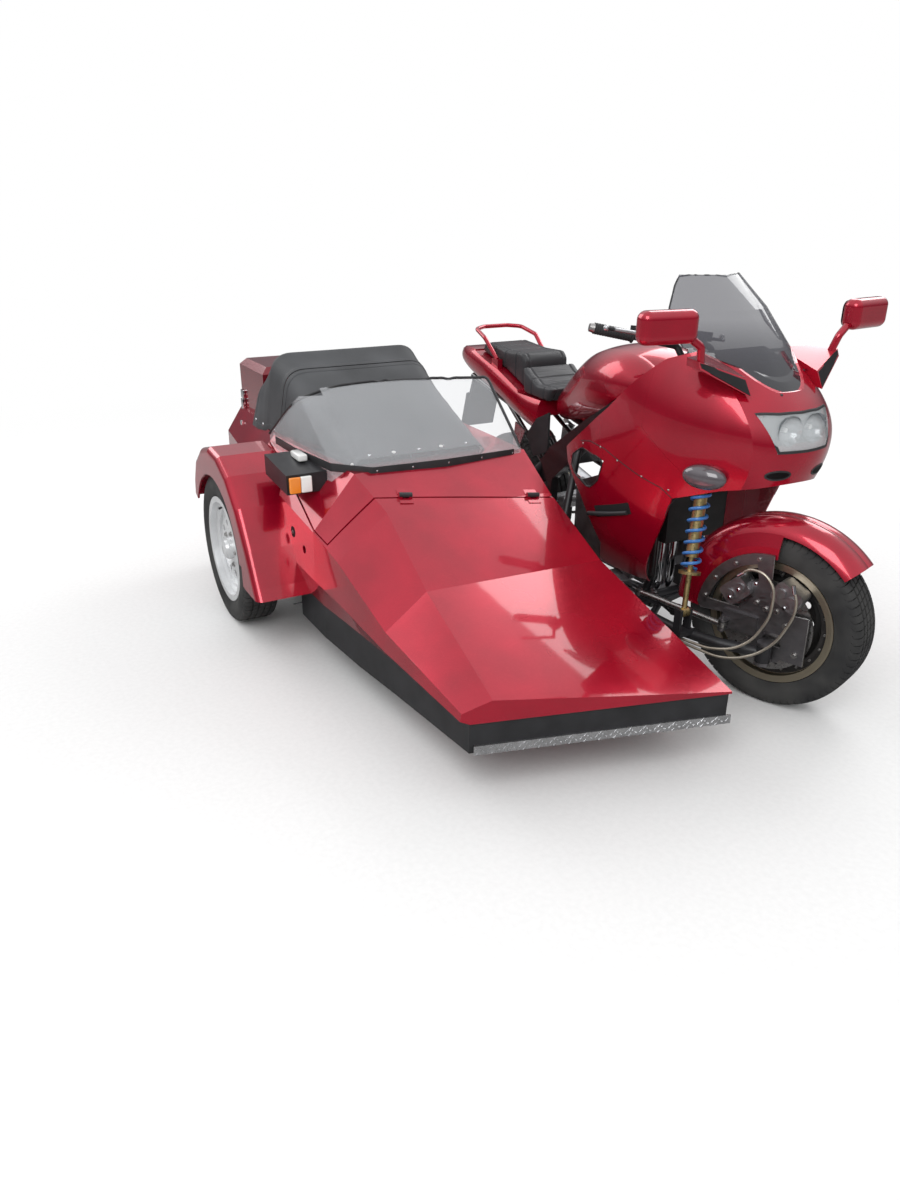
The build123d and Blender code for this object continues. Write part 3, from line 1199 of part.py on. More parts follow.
def build():
    """Every piece by its node name."""
    pieces = {}
    pieces["front_tyre"] = steered(tyre(FRONT_TYRE_W))
    pieces["front_rim"] = steered(rim(FRONT_TYRE_W, 18, HUB_HALF, 48, 10, 13, 100))
    carrier = Pos(0, DISC_L, 0) * Rot(90, 0, 0) * Cylinder(88, 5)
    hat = rod((0, DISC_L, 0), (0, -HUB_HALF - SEAT_GAP, 0), 46)
    carrier = carrier + hat - rod((0, -120, 0), (0, 0, 0), AXLE_R + 6)
    pieces["front_disc"] = steered(disc(DISC_R, 86, DISC_L, DISC_T, 16) + carrier)
    pieces["front_upright"] = front_upright()
    pieces["brake_calipers"] = Compound([steered(one) for one in brake_calipers()])
    pieces["front_mudguard"] = front_mudguard()
    pieces["front_swingarm"] = front_swingarm()
    pieces["front_shock"] = front_shock()
    pieces["front_spring"] = front_spring()
    pieces["steering_rod"] = steering_rod()
    pieces["steering_relay"] = steering_relay()
    pieces["handlebar"] = handlebar()
    pieces["main_frame"] = main_frame()
    pieces["engine_block"] = engine_block()
    pieces["rear_swingarm"] = rear_swingarm()
    rear_place = Pos(REAR_X, 0, TYRE_R)
    pieces["rear_tyre"] = rear_place * tyre(REAR_TYRE_W)
    rear_rim = rim(REAR_TYRE_W, 24, REAR_HUB_HALF, 50, 10, 13, 100)
    pieces["rear_rim"] = rear_place * rear_rim
    pieces["rear_disc"] = rear_place * (disc(125, 60, -90, 6, 12) + disc(62, AXLE_R + 12, -76, 27.4, 0))
    carrier_ring = rod((0, REAR_HUB_HALF + SEAT_GAP, 0), (0, CHAIN_Y, 0), 60)
    carrier_ring -= rod((0, 0, 0), (0, 200, 0), AXLE_R + 12)
    pieces["rear_sprocket"] = rear_place * (sprocket(SPROCKET_R, 42, CHAIN_Y) - Rot(90, 0, 0) * Cylinder(55, 400)
                                            + carrier_ring)
    pieces["drive_chain"] = drive_chain()
    pieces["exhaust_left"] = exhaust()
    pieces["exhaust_right"] = mirrored(exhaust())
    pegs = footrests()
    pieces["footrests"] = Compound([*pegs, *[mirrored(peg) for peg in pegs]])
    upper, lens, left, right = fairing_pieces()
    pieces["fairing_upper"] = upper
    pieces["headlamp"] = lens
    pieces["fairing_left"] = left
    pieces["fairing_right"] = right
    pieces["bike_windscreen"] = bike_windscreen()
    pieces["fuel_tank"] = fuel_tank()
    pieces["seat"] = seat()
    pieces["tail_cowl"] = tail_cowl()
    pieces["grab_rail"] = grab_rail()
    pieces["rear_guard"] = rear_guard()
    pieces["tail_lamp"] = tail_lamp()
    pieces["side_covers"] = Compound([side_cover(), mirrored(side_cover())])
    pieces["mirror_left"] = mirror_head(1)
    pieces["mirror_right"] = mirror_head(-1)
    pieces["front_signals"] = Compound(front_signals())
    pieces["dash_panel"] = dash_panel()
    pieces["radiators"] = Compound(oil_cooler())
    tub, cowl = sidecar_pieces()
    pieces["sidecar_tub"] = tub
    pieces["sidecar_cowl"] = cowl
    pieces["sidecar_skirt"] = sidecar_skirt()
    pieces["nose_strip"] = nose_strip()
    pieces["sidecar_windscreen"] = sidecar_windscreen()
    hood_front, hood_rear = hood_pieces()
    pieces["hood_front"] = hood_front
    pieces["hood_rear"] = hood_rear
    pieces["sidecar_seat"] = Compound(sidecar_seat())
    pieces["boot_lid"] = boot_lid()
    pieces["sidecar_lamp"] = sidecar_lamp()
    pieces["sidecar_lens"] = sidecar_lens()
    pieces["sidecar_chassis"] = sidecar_chassis()
    pieces["mount_struts"] = Compound(mount_struts())
    pieces["sidecar_axle"] = sidecar_axle()
    side_place = Pos(WHEEL_X, WHEEL_Y, TYRE_R)
    pieces["sidecar_tyre"] = side_place * tyre(SIDE_TYRE_W)
    pieces["sidecar_rim"] = side_place * rim(SIDE_TYRE_W, -34, HUB_HALF, 42, 10, 13, 100)
    return pieces


if __name__ == "__main__":
    os.makedirs("parts", exist_ok=True)
    for name, shape in build().items():
        export(name, shape)
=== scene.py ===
import json
import math

import bmesh
import bpy
from bpy.props import FloatProperty, FloatVectorProperty, IntProperty, PointerProperty
from mathutils import Matrix, Vector
from mathutils.bvhtree import BVHTree


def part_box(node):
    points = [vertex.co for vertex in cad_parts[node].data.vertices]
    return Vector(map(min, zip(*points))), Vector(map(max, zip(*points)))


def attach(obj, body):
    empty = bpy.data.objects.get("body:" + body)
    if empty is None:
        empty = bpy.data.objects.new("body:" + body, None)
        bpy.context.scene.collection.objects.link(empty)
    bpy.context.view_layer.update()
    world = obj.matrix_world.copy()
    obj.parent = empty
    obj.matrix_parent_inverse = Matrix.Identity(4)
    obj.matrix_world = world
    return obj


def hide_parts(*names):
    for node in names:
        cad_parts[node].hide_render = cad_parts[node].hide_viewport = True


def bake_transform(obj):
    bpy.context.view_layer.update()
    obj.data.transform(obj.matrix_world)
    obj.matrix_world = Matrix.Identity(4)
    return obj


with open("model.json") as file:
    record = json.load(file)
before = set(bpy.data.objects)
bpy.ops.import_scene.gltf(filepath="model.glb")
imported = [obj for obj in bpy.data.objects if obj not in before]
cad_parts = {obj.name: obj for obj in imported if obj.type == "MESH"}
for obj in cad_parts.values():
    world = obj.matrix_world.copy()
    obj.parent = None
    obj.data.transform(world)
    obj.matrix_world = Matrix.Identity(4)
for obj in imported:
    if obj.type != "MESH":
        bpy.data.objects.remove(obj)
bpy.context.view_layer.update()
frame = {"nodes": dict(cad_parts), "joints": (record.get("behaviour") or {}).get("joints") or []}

bl_info = {
    "name": "Touring motorcycle with sidecar",
    "version": (1, 0, 0),
    "blender": (4, 5, 0),
    "location": "View3D > Sidebar > Outfit",
    "description": "Dresses the motorcycle and its sidecar: paint, tyres, seats, hood, lamps and fittings",
    "category": "Object",
}

MM = 0.001

# The front wheel's foot on the floor: every place below is measured from it, in millimetres
TYRE_LOW, TYRE_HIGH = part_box("front_tyre")
FRONT = Vector(((TYRE_LOW.x + TYRE_HIGH.x) / 2, (TYRE_LOW.y + TYRE_HIGH.y) / 2, 0))
# The front wheel's axle at rest, and how far it is steered there
STEER = next(joint for joint in frame["joints"] if joint["name"] == "front_wheel_spin")["axis"]
STEER_REST = math.atan2(-STEER[0], STEER[1])
WHITE = (1.0, 1.0, 1.0, 1.0)


def at(x, y, z):
    """Point in the frame, from millimetres forward, left and up of the front wheel's foot."""
    return FRONT + Vector((x, y, z)) * MM


def centre_of(node):
    """Middle of a node's box."""
    low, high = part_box(node)
    return (low + high) / 2


# Materials

def new_material(name, color, roughness, metallic=0.0, **sockets):
    """Principled material with its plain values on the shader's own sockets."""
    material = bpy.data.materials.new(name)
    material.use_nodes = True
    shader = material.node_tree.nodes["Principled BSDF"]
    shader.inputs["Base Color"].default_value = (*color, 1.0)
    shader.inputs["Roughness"].default_value = roughness
    shader.inputs["Metallic"].default_value = metallic
    for socket, value in sockets.items():
        shader.inputs[socket.replace("_", " ")].default_value = value
    return material, shader


def add_node(tree, kind, *sources, operation=None, **values):
    """Shader node whose first sockets are fed by the sources, with values on its other sockets."""
    node = tree.nodes.new(kind)
    if operation:
        node.operation = operation
    for source, socket in zip(sources, node.inputs):
        tree.links.new(source, socket)
    for socket, value in values.items():
        node.inputs[socket.replace("_", " ")].default_value = value
    return node


def pattern(material, kind, scale, stretch=(1, 1, 1), **values):
    """Texture node on Object coordinates."""
    tree = material.node_tree
    coords = add_node(tree, "ShaderNodeTexCoord")
    mapping = add_node(tree, "ShaderNodeMapping", coords.outputs["Object"], Scale=stretch)
    return add_node(tree, kind, mapping.outputs["Vector"], Scale=scale, **values)


def ramp(material, source, low, high, start=0.3, end=0.7):
    """Colour ramp between two greys or colours."""
    node = add_node(material.node_tree, "ShaderNodeValToRGB", source)
    for stop, place, value in zip(node.color_ramp.elements, (start, end), (low, high)):
        stop.position = place
        stop.color = (*value, 1.0) if hasattr(value, "__len__") else (value, value, value, 1.0)
    return node.outputs["Color"]


def bump(material, shader, source, strength, distance):
    """Bump from a height."""
    node = add_node(material.node_tree, "ShaderNodeBump", Strength=strength, Distance=distance)
    material.node_tree.links.new(source, node.inputs["Height"])
    material.node_tree.links.new(node.outputs["Normal"], shader.inputs["Normal"])


def add_grain(material, shader, scale, detail, strength, distance):
    """Fine grain in relief."""
    texture = pattern(material, "ShaderNodeTexNoise", scale, Detail=detail)
    bump(material, shader, texture.outputs[0], strength, distance)


def vary(material, shader, socket, scale, low, high, stretch=(1, 1, 1)):
    """Drives one socket of the shader from cloudy noise."""
    texture = pattern(material, "ShaderNodeTexNoise", scale, stretch)
    color = ramp(material, texture.outputs[0], low, high)
    material.node_tree.links.new(color, shader.inputs[socket])


def shade(color, factor):
    """Colour made lighter or darker."""
    return tuple(min(1.0, channel * factor) for channel in color)


def paint(name, color, roughness=0.2, metallic=0.25, coat=1.0):
    """Body paint below a clear coat, with fine flakes and slight unevenness of colour."""
    material, shader = new_material(name, color, roughness, metallic, Coat_Weight=coat,
                                    Coat_Roughness=0.04)
    vary(material, shader, "Base Color", 6.0, shade(color, 0.86), shade(color, 1.12))
    vary(material, shader, "Roughness", 900.0, roughness * 0.8, roughness * 1.3)
    return material


def satin(name, color, roughness=0.42, metallic=0.0, grain=380.0, depth=0.0002):
    """Powder coat or moulded plastic with a fine grain."""
    material, shader = new_material(name, color, roughness, metallic)
    vary(material, shader, "Base Color", 14.0, shade(color, 0.75), shade(color, 1.35))
    add_grain(material, shader, grain, 2.0, 0.25, depth)
    return material


def metal(name, color, roughness, grain=160.0, stretch=(1, 1, 1)):
    """Bare metal with fine working marks."""
    material, shader = new_material(name, color, roughness, 1.0)
    vary(material, shader, "Roughness", grain, roughness * 0.7, roughness * 1.35, stretch)
    vary(material, shader, "Base Color", 22.0, shade(color, 0.82), shade(color, 1.08))
    return material


def rubber(name):
    """Tyre rubber, faintly dusty."""
    material, shader = new_material(name, (0.03, 0.03, 0.032), 0.72)
    vary(material, shader, "Base Color", 9.0, (0.016, 0.016, 0.017), (0.05, 0.049, 0.047))
    add_grain(material, shader, 420.0, 3.0, 0.3, 0.0004)
    return material


def vinyl(name, color, roughness, cell, depth):
    """Grained vinyl or leathercloth."""
    material, shader = new_material(name, color, roughness, Specular_IOR_Level=0.4)
    vary(material, shader, "Base Color", 5.0, shade(color, 0.75), shade(color, 1.3))
    texture = pattern(material, "ShaderNodeTexVoronoi", cell)
    bump(material, shader, texture.outputs["Distance"], depth, 0.0005)
    return material


# Glossy face of an acrylic sheet, and how dense the smoked one is at its foot
GLOSS = {"Coat_Weight": 0.6, "Coat_Roughness": 0.02}
FOOT_ALPHA = 0.93
# Front and rear rims: colours of well and lip, and the radius in millimetres where the bare lip begins
RIM_BLACK = (0.03, 0.028, 0.027)
BARE_LIP = (0.50, 0.44, 0.33)
LIP_INNER = 183.5
# Radius in metres at the end of the rims' colour ramp, and the share of that ramp on which the lip begins
RAMP_REACH = 0.25
LIP_EDGE = 0.004


def glass(name, color, alpha, roughness=0.03):
    """Thin acrylic sheet: mostly clear, with a glossy face."""
    material, shader = new_material(name, color, roughness, Alpha=alpha, **GLOSS)
    vary(material, shader, "Roughness", 30.0, roughness, roughness * 2.2)
    return material


def axle_distance(material, node, axis):
    """Distance of a point from a wheel's axle, in metres."""
    tree = material.node_tree
    coords = add_node(tree, "ShaderNodeTexCoord")
    offset = add_node(tree, "ShaderNodeVectorMath", coords.outputs["Object"], operation="SUBTRACT")
    offset.inputs[1].default_value = centre_of(node)
    across = add_node(tree, "ShaderNodeVectorMath", offset.outputs["Vector"], operation="CROSS_PRODUCT")
    across.inputs[1].default_value = Vector(axis).normalized()
    length = add_node(tree, "ShaderNodeVectorMath", across.outputs["Vector"], operation="LENGTH")
    return length.outputs["Value"]


def lipped_rim(name, node, axis):
    """Black rim with a bare metal lip outside the radius of its well."""
    material, shader = new_material(name, RIM_BLACK, 0.4)
    scaled = add_node(material.node_tree, "ShaderNodeMath", axle_distance(material, node, axis),
                      operation="DIVIDE")
    scaled.inputs[1].default_value = RAMP_REACH
    edge = LIP_INNER * MM / RAMP_REACH
    for socket, well, lip in (("Base Color", RIM_BLACK, BARE_LIP), ("Metallic", 0.0, 1.0)):
        value = ramp(material, scaled.outputs["Value"], well, lip, edge - LIP_EDGE, edge)
        material.node_tree.links.new(value, shader.inputs[socket])
    add_grain(material, shader, 70.0, 3.0, 0.15, 0.0004)
    return material


def height_tint(name, low_color, high_color, low, high, alpha):
    """Smoked sheet between two heights in metres, darker and denser towards its foot."""
    material, shader = new_material(name, high_color, 0.04, Alpha=alpha, **GLOSS)
    tree = material.node_tree
    coords = add_node(tree, "ShaderNodeTexCoord")
    split = add_node(tree, "ShaderNodeSeparateXYZ", coords.outputs["Object"])
    scaled = add_node(tree, "ShaderNodeMapRange", split.outputs["Z"], From_Min=low, From_Max=high)
    for socket, foot, top in (("Base Color", low_color, high_color), ("Alpha", FOOT_ALPHA, alpha)):
        value = ramp(material, scaled.outputs["Result"], foot, top, 0.0, 1.0)
        tree.links.new(value, shader.inputs[socket])
    return material


def make_materials():
    """Every finish of the outfit, by name."""
    outfit = bpy.context.scene.outfit
    red = tuple(outfit.paint_color)
    return {
        "red": paint("candy_red_paint", red, 0.22, 0.55),
        # Painted shade: the body red at half brightness, for the boot lid
        "painted_shade_red": paint("painted_shade_red_paint", shade(red, 0.5), 0.25, 0.4),
        "black": satin("black_powder_coat", (0.016, 0.016, 0.018)),
        "black_gloss": paint("black_gloss_paint", (0.012, 0.012, 0.013), 0.25, 0.0),
        "plastic": satin("black_moulded_plastic", (0.022, 0.022, 0.024), 0.5, 0.0, 620.0, 0.0004),
        "tyre": rubber("tyre_rubber"),
        "rim_white": paint("silver_white_rim_paint", (0.70, 0.71, 0.72), 0.3, 0.35, 0.6),
        "rim_black": satin("black_rim_paint", (0.03, 0.027, 0.026), 0.38),
        "front_rim": lipped_rim("front_rim_paint", "front_tyre", STEER),
        "rear_rim": lipped_rim("rear_rim_paint", "rear_tyre", (0, 1, 0)),
        "steel": metal("ground_steel", (0.46, 0.45, 0.44), 0.34),
        "plate": metal("dark_steel_plate", (0.27, 0.26, 0.27), 0.42, 60.0, (1, 1, 6)),
        "aluminium": metal("brushed_aluminium", (0.66, 0.66, 0.67), 0.32, 90.0, (1, 8, 1)),
        "chrome": metal("chrome", (0.80, 0.80, 0.82), 0.08),
        "spring": paint("blue_spring_paint", (0.035, 0.17, 0.48), 0.3, 0.1, 0.6),
        "gold": metal("gold_damper", (0.55, 0.43, 0.20), 0.35),
        "caliper": metal("caliper_casting", (0.42, 0.41, 0.42), 0.42),
        "hood": vinyl("hood_vinyl", (0.052, 0.054, 0.058), 0.55, 420.0, 0.03),
        "seat": vinyl("seat_vinyl", (0.034, 0.034, 0.037), 0.46, 700.0, 0.16),
        "screen": glass("clear_acrylic", (0.70, 0.72, 0.75), 0.20),
        "smoke": height_tint("smoked_acrylic", (0.02, 0.02, 0.024), (0.10, 0.10, 0.12), 1.02, 1.20, 0.55),
        "lamp": glass("headlamp_glass", (0.80, 0.84, 0.86), 0.30),
        "amber": paint("amber_lens", (0.80, 0.24, 0.02), 0.22, 0.0, 1.0),
        "white": paint("white_lens", (0.80, 0.80, 0.78), 0.25, 0.0, 1.0),
        "red_lens": paint("red_lens", (0.42, 0.01, 0.012), 0.2, 0.0, 1.0),
        "smoked_lens": paint("smoked_lens", (0.10, 0.09, 0.10), 0.12, 0.2, 1.0),
        "braid": metal("braided_hose", (0.58, 0.53, 0.44), 0.45, 900.0),
        "core": satin("radiator_core", (0.02, 0.02, 0.02), 0.6, 0.3, 900.0, 0.001),
        "thread": satin("hood_thread", (0.10, 0.10, 0.10), 0.7),
        # Near-black for painted shade: the lower vent slots, the hole in the tub and the front faces of the
        # mirrors' feet
        "dark": satin("painted_shade_near_black", (0.008, 0.008, 0.009), 0.75),
        "gauze": satin("intake_gauze", (0.012, 0.012, 0.013), 0.55, 0.4, 1400.0, 0.002),
        "mirror": metal("mirror_glass", (0.72, 0.74, 0.76), 0.04, 8.0),
        "grip": satin("grip_rubber", (0.018, 0.018, 0.019), 0.72),
    }


# Which finish each CAD node shows
NODE_FINISH = {
    "red": ["front_mudguard", "fairing_upper", "fairing_left", "fairing_right", "fuel_tank", "tail_cowl",
            "grab_rail", "mirror_left", "mirror_right", "sidecar_tub", "sidecar_cowl"],
    # The boot lid gets the half-bright red as painted shade
    "painted_shade_red": ["boot_lid"],
    "black": ["front_swingarm", "steering_relay", "handlebar", "sidecar_chassis", "mount_struts",
              "sidecar_axle", "sidecar_skirt", "sidecar_lamp", "rear_sprocket"],
    "black_gloss": ["main_frame"],
    "plastic": ["rear_guard", "side_covers", "dash_panel"],
    "core": ["radiators"],
    "tyre": ["front_tyre", "rear_tyre", "sidecar_tyre"],
    "rim_white": ["sidecar_rim"],
    "front_rim": ["front_rim"],
    "rear_rim": ["rear_rim"],
    "steel": ["front_disc", "rear_disc", "steering_rod", "drive_chain"],
    "plate": ["front_upright"],
    "caliper": ["brake_calipers", "engine_block"],
    "aluminium": ["rear_swingarm", "footrests", "nose_strip"],
    "chrome": ["exhaust_left", "exhaust_right"],
    "spring": ["front_spring"],
    "gold": ["front_shock"],
    "hood": ["hood_front", "hood_rear"],
    "seat": ["seat", "sidecar_seat"],
    "screen": ["sidecar_windscreen"],
    "smoke": ["bike_windscreen"],
    "lamp": ["headlamp"],
    "amber": ["sidecar_lens"],
    "red_lens": ["tail_lamp"],
    "smoked_lens": ["front_signals"],
}
# Materials by name, once the finishes are made
FINISH = {}


def dress_node(node, finish):
    """Gives a CAD node its finish."""
    obj = frame["nodes"][node]
    obj.data.materials.clear()
    obj.data.materials.append(FINISH[finish])


# Mesh helpers

def link_object(name, data):
    """New object in the scene."""
    obj = bpy.data.objects.new(name, data)
    bpy.context.scene.collection.objects.link(obj)
    return obj


def finish_piece(name, bm, finish, body, smooth_angle=40.0):
    """Makes the bmesh an object at the origin, smooth up to an angle in degrees, riding on its body."""
    bmesh.ops.recalc_face_normals(bm, faces=bm.faces)
    mesh = bpy.data.meshes.new(name)
    for face in bm.faces:
        face.smooth = True
    for edge in bm.edges:
        if len(edge.link_faces) == 2 and edge.calc_face_angle(0.0) > math.radians(smooth_angle):
            edge.smooth = False
    bm.to_mesh(mesh)
    bm.free()
    obj = link_object(name, mesh)
    mesh.materials.append(FINISH[finish])
    if body:
        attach(obj, body)
    return obj


def on_side(direction, side):
    """Direction turned to the left or to the right, as the sign of the side says."""
    forward, across, up = direction
    return Vector((forward, math.copysign(across, side), up)).normalized()


def facing(direction):
    """Rotation that turns +Z to a direction."""
    return Vector(direction).normalized().to_track_quat("Z", "Y").to_matrix().to_4x4()


def add_cylinder(bm, base, direction, radius, length, sides=24, top=None):
    """Adds a closed cylinder or cone from a base point along a direction."""
    place = Matrix.Translation(Vector(base)) @ facing(direction) @ Matrix.Translation((0, 0, length / 2))
    bmesh.ops.create_cone(bm, cap_ends=True, segments=sides, radius1=radius,
                          radius2=radius if top is None else top, depth=length, matrix=place)


def add_box(bm, place, size):
    """Adds a box of a size in metres at a place."""
    bmesh.ops.create_cube(bm, size=1.0, matrix=place @ Matrix.Diagonal((*size, 1)))


def round_edges(bm, edges, offset, segments):
    """Rounds edges by an offset in metres."""
    bmesh.ops.bevel(bm, geom=edges, offset=offset, segments=segments, profile=0.5, affect="EDGES",
                    material=-1)


def skin_rings(bm, rings, closed=False):
    """Spans faces from ring to ring of points, and from the last to the first where they are closed."""
    for first, second in zip(rings, rings[1:] + rings[:1] if closed else rings[1:]):
        for index in range(len(first)):
            other = (index + 1) % len(first)
            bm.faces.new((first[index], first[other], second[other], second[index]))


def add_bolt(bm, base, direction, radius):
    """Adds a washer with a hexagon head on it."""
    step = Vector(direction).normalized()
    add_cylinder(bm, base, step, radius * 1.35, radius * 0.3, 20)
    add_cylinder(bm, Vector(base) + step * radius * 0.3, step, radius, radius * 0.8, 6, radius * 0.92)


def add_rivet(bm, base, direction, radius):
    """Adds a domed rivet or snap."""
    place = Matrix.Translation(Vector(base)) @ facing(direction) @ Matrix.Diagonal((1, 1, 0.55, 1))
    bmesh.ops.create_uvsphere(bm, u_segments=12, v_segments=6, radius=radius, matrix=place)


def ribbon(name, points, radius, finish, body, corner="AUTO"):
    """Round bead along a line of points, smooth or with corners."""
    curve = bpy.data.curves.new(name, "CURVE")
    curve.dimensions = "3D"
    curve.bevel_depth = radius
    curve.bevel_resolution = 3
    curve.resolution_u = 8
    spline = curve.splines.new("BEZIER")
    spline.bezier_points.add(len(points) - 1)
    for knot, point in zip(spline.bezier_points, points):
        knot.co = point
        knot.handle_left_type = knot.handle_right_type = corner
    holder = link_object(name, curve)
    mesh = bpy.data.meshes.new_from_object(holder.evaluated_get(bpy.context.evaluated_depsgraph_get()))
    bpy.data.objects.remove(holder)
    bm = bmesh.new()
    bm.from_mesh(mesh)
    bpy.data.meshes.remove(mesh)
    bmesh.ops.holes_fill(bm, edges=[edge for edge in bm.edges if edge.is_boundary], sides=0)
    return finish_piece(name, bm, finish, body, 60.0)


# Camera and stage

class StageSettings(bpy.types.PropertyGroup):
    """Camera and light."""
    camera_x: FloatProperty(name="Camera forward", unit="LENGTH", default=1.847,
                            description="Camera ahead of the front wheel")
    camera_y: FloatProperty(name="Camera left", unit="LENGTH", default=-2.229,
                            description="Camera to the left of the front wheel")
    camera_z: FloatProperty(name="Camera height", unit="LENGTH", default=1.526,
                            description="Camera above the floor")
    heading: FloatProperty(name="Heading", default=151.5,
                           description="Camera's heading in degrees from forward")
    pitch: FloatProperty(name="Pitch", default=23.75,
                         description="Camera's tilt below the horizon, in degrees")
    roll: FloatProperty(name="Roll", default=-0.25, description="Camera's roll in degrees")
    focal: FloatProperty(name="Focal length", default=27.0, description="Lens for a 36 mm long side")
    floor_color: FloatVectorProperty(name="Floor", subtype="COLOR", default=(0.80, 0.80, 0.80),
                                     description="Colour of the floor")
    world_light: FloatProperty(name="Sky light", default=0.85, description="Strength of the even light")


# Where the floor begins and ends to fade to white, in metres, and its colour as bright metal mirrors it
FLOOR_SIZE = 400.0
FADE_START = 1.6
FADE_END = 5.5
MIRRORED_FLOOR = (0.30, 0.30, 0.30, 1.0)
# Area lamps: name, place, size and power. They point at the middle of the outfit.
LAMPS = [("key", (3.5, -3.5, 4.5), 3.5, 150.0), ("fill", (-4.0, -2.0, 3.5), 3.0, 60.0),
         ("rim", (-1.5, 4.0, 4.0), 3.0, 90.0)]
LAMP_TARGET = Vector((0, 0, 0.5))


class OUTFIT_OT_stage(bpy.types.Operator):
    """Make the camera, the floor and the soft light"""
    bl_idname = "outfit.stage"
    bl_label = "Stage"

    def execute(self, context):
        settings = context.scene.outfit_stage
        self.make_camera(context, settings)
        self.make_floor(settings)
        self.make_sky(context, settings)
        self.make_lamps()
        context.scene.view_settings.view_transform = "Standard"
        return {"FINISHED"}

    def make_camera(self, context, settings):
        """Camera at the photograph's place and viewing angle."""
        camera = bpy.data.cameras.new("camera")
        camera.lens = settings.focal
        camera.sensor_width = 36.0
        holder = link_object("camera", camera)
        place = FRONT + Vector((settings.camera_x, settings.camera_y, settings.camera_z))
        heading, pitch, roll = (math.radians(v) for v in (settings.heading, settings.pitch, settings.roll))
        forward = Vector((math.cos(pitch) * math.cos(heading), math.cos(pitch) * math.sin(heading),
                          -math.sin(pitch)))
        turn = forward.to_track_quat("-Z", "Y").to_matrix().to_4x4()
        holder.matrix_world = Matrix.Translation(place) @ turn @ Matrix.Rotation(-roll, 4, "Z")
        context.scene.camera = holder

    def make_floor(self, settings):
        """Pale floor that fades to white, and is dull where metal mirrors it."""
        bm = bmesh.new()
        bmesh.ops.create_grid(bm, x_segments=1, y_segments=1, size=FLOOR_SIZE)
        mesh = bpy.data.meshes.new("floor")
        bm.to_mesh(mesh)
        bm.free()
        floor = link_object("floor", mesh)
        color = tuple(settings.floor_color)
        material, shader = new_material("pale_floor", color, 0.9, Specular_IOR_Level=0.1)
        vary(material, shader, "Base Color", 60.0, shade(color, 0.98), shade(color, 1.02))
        tree = material.node_tree
        coords = add_node(tree, "ShaderNodeTexCoord")
        length = add_node(tree, "ShaderNodeVectorMath", coords.outputs["Object"], operation="LENGTH")
        away = add_node(tree, "ShaderNodeMapRange", length.outputs["Value"], From_Min=FADE_START,
                        From_Max=FADE_END)
        away.interpolation_type = "SMOOTHSTEP"
        white = add_node(tree, "ShaderNodeEmission", Color=WHITE)
        fade = add_node(tree, "ShaderNodeMixShader", away.outputs["Result"], shader.outputs["BSDF"],
                        white.outputs["Emission"])
        dull = add_node(tree, "ShaderNodeBsdfDiffuse", Color=MIRRORED_FLOOR)
        rays = add_node(tree, "ShaderNodeLightPath")
        choose = add_node(tree, "ShaderNodeMixShader", rays.outputs["Is Glossy Ray"], fade.outputs["Shader"],
                          dull.outputs["BSDF"])
        tree.links.new(choose.outputs["Shader"], tree.nodes["Material Output"].inputs["Surface"])
        mesh.materials.append(material)

    def make_sky(self, context, settings):
        """Even white light that glossy faces see as a gradient and the camera as plain white."""
        world = bpy.data.worlds.new("soft_sky")
        context.scene.world = world
        world.use_nodes = True
        tree = world.node_tree
        background = tree.nodes["Background"]
        background.inputs["Strength"].default_value = settings.world_light
        background.inputs["Color"].default_value = WHITE
        coords = add_node(tree, "ShaderNodeTexCoord")
        split = add_node(tree, "ShaderNodeSeparateXYZ", coords.outputs["Generated"])
        gradient = ramp(world, split.outputs["Z"], (0.07, 0.07, 0.08), (0.85, 0.86, 0.88), 0.08, 0.62)
        mirrored = add_node(tree, "ShaderNodeBackground", gradient)
        rays = add_node(tree, "ShaderNodeLightPath")
        glossy = add_node(tree, "ShaderNodeMixShader", rays.outputs["Is Glossy Ray"],
                          background.outputs["Background"], mirrored.outputs["Background"])
        backdrop = add_node(tree, "ShaderNodeBackground", Color=WHITE)
        sky = add_node(tree, "ShaderNodeMixShader", rays.outputs["Is Camera Ray"], glossy.outputs["Shader"],
                       backdrop.outputs["Background"])
        tree.links.new(sky.outputs["Shader"], tree.nodes["World Output"].inputs["Surface"])

    def make_lamps(self):
        """Three soft area lamps."""
        for name, place, size, power in LAMPS:
            light = bpy.data.lights.new(name, "AREA")
            light.energy = power
            light.size = size
            aim = (LAMP_TARGET - Vector(place)).to_track_quat("-Z", "Y").to_matrix().to_4x4()
            link_object(name, light).matrix_world = Matrix.Translation(place) @ aim


class OutfitSettings(bpy.types.PropertyGroup):
    """Colours and sizes of the outfit."""
    paint_color: FloatVectorProperty(name="Paint", subtype="COLOR", default=(0.42, 0.002, 0.022),
                                     description="Candy red of the bodywork")
    groove_depth: FloatProperty(name="Tread depth", unit="LENGTH", default=0.006,
                                description="Depth of the tyre's grooves")
    tread_pitches: IntProperty(name="Tread pitches", default=72, description="Blocks round a tyre")


class OUTFIT_OT_finishes(bpy.types.Operator):
    """Give every CAD node its finish"""
    bl_idname = "outfit.finishes"
    bl_label = "Finishes"

    def execute(self, context):
        FINISH.update(make_materials())
        for finish, nodes in NODE_FINISH.items():
            for node in nodes:
                dress_node(node, finish)
        return {"FINISHED"}


# Surfaces of the CAD nodes

SURFACES = {}


def surface(node):
    """Search tree over a CAD node's mesh."""
    if node not in SURFACES:
        mesh = frame["nodes"][node].data
        points = [vertex.co.copy() for vertex in mesh.vertices]
        SURFACES[node] = BVHTree.FromPolygons(points, [tuple(face.vertices) for face in mesh.polygons])
    return SURFACES[node]


def seat_on(node, point, lift=0.0):
    """Nearest place on a node to a point, lifted off it, in millimetres, and the normal there."""
    place, normal, _, _ = surface(node).find_nearest(at(*point))
    return place + normal * lift * MM, normal


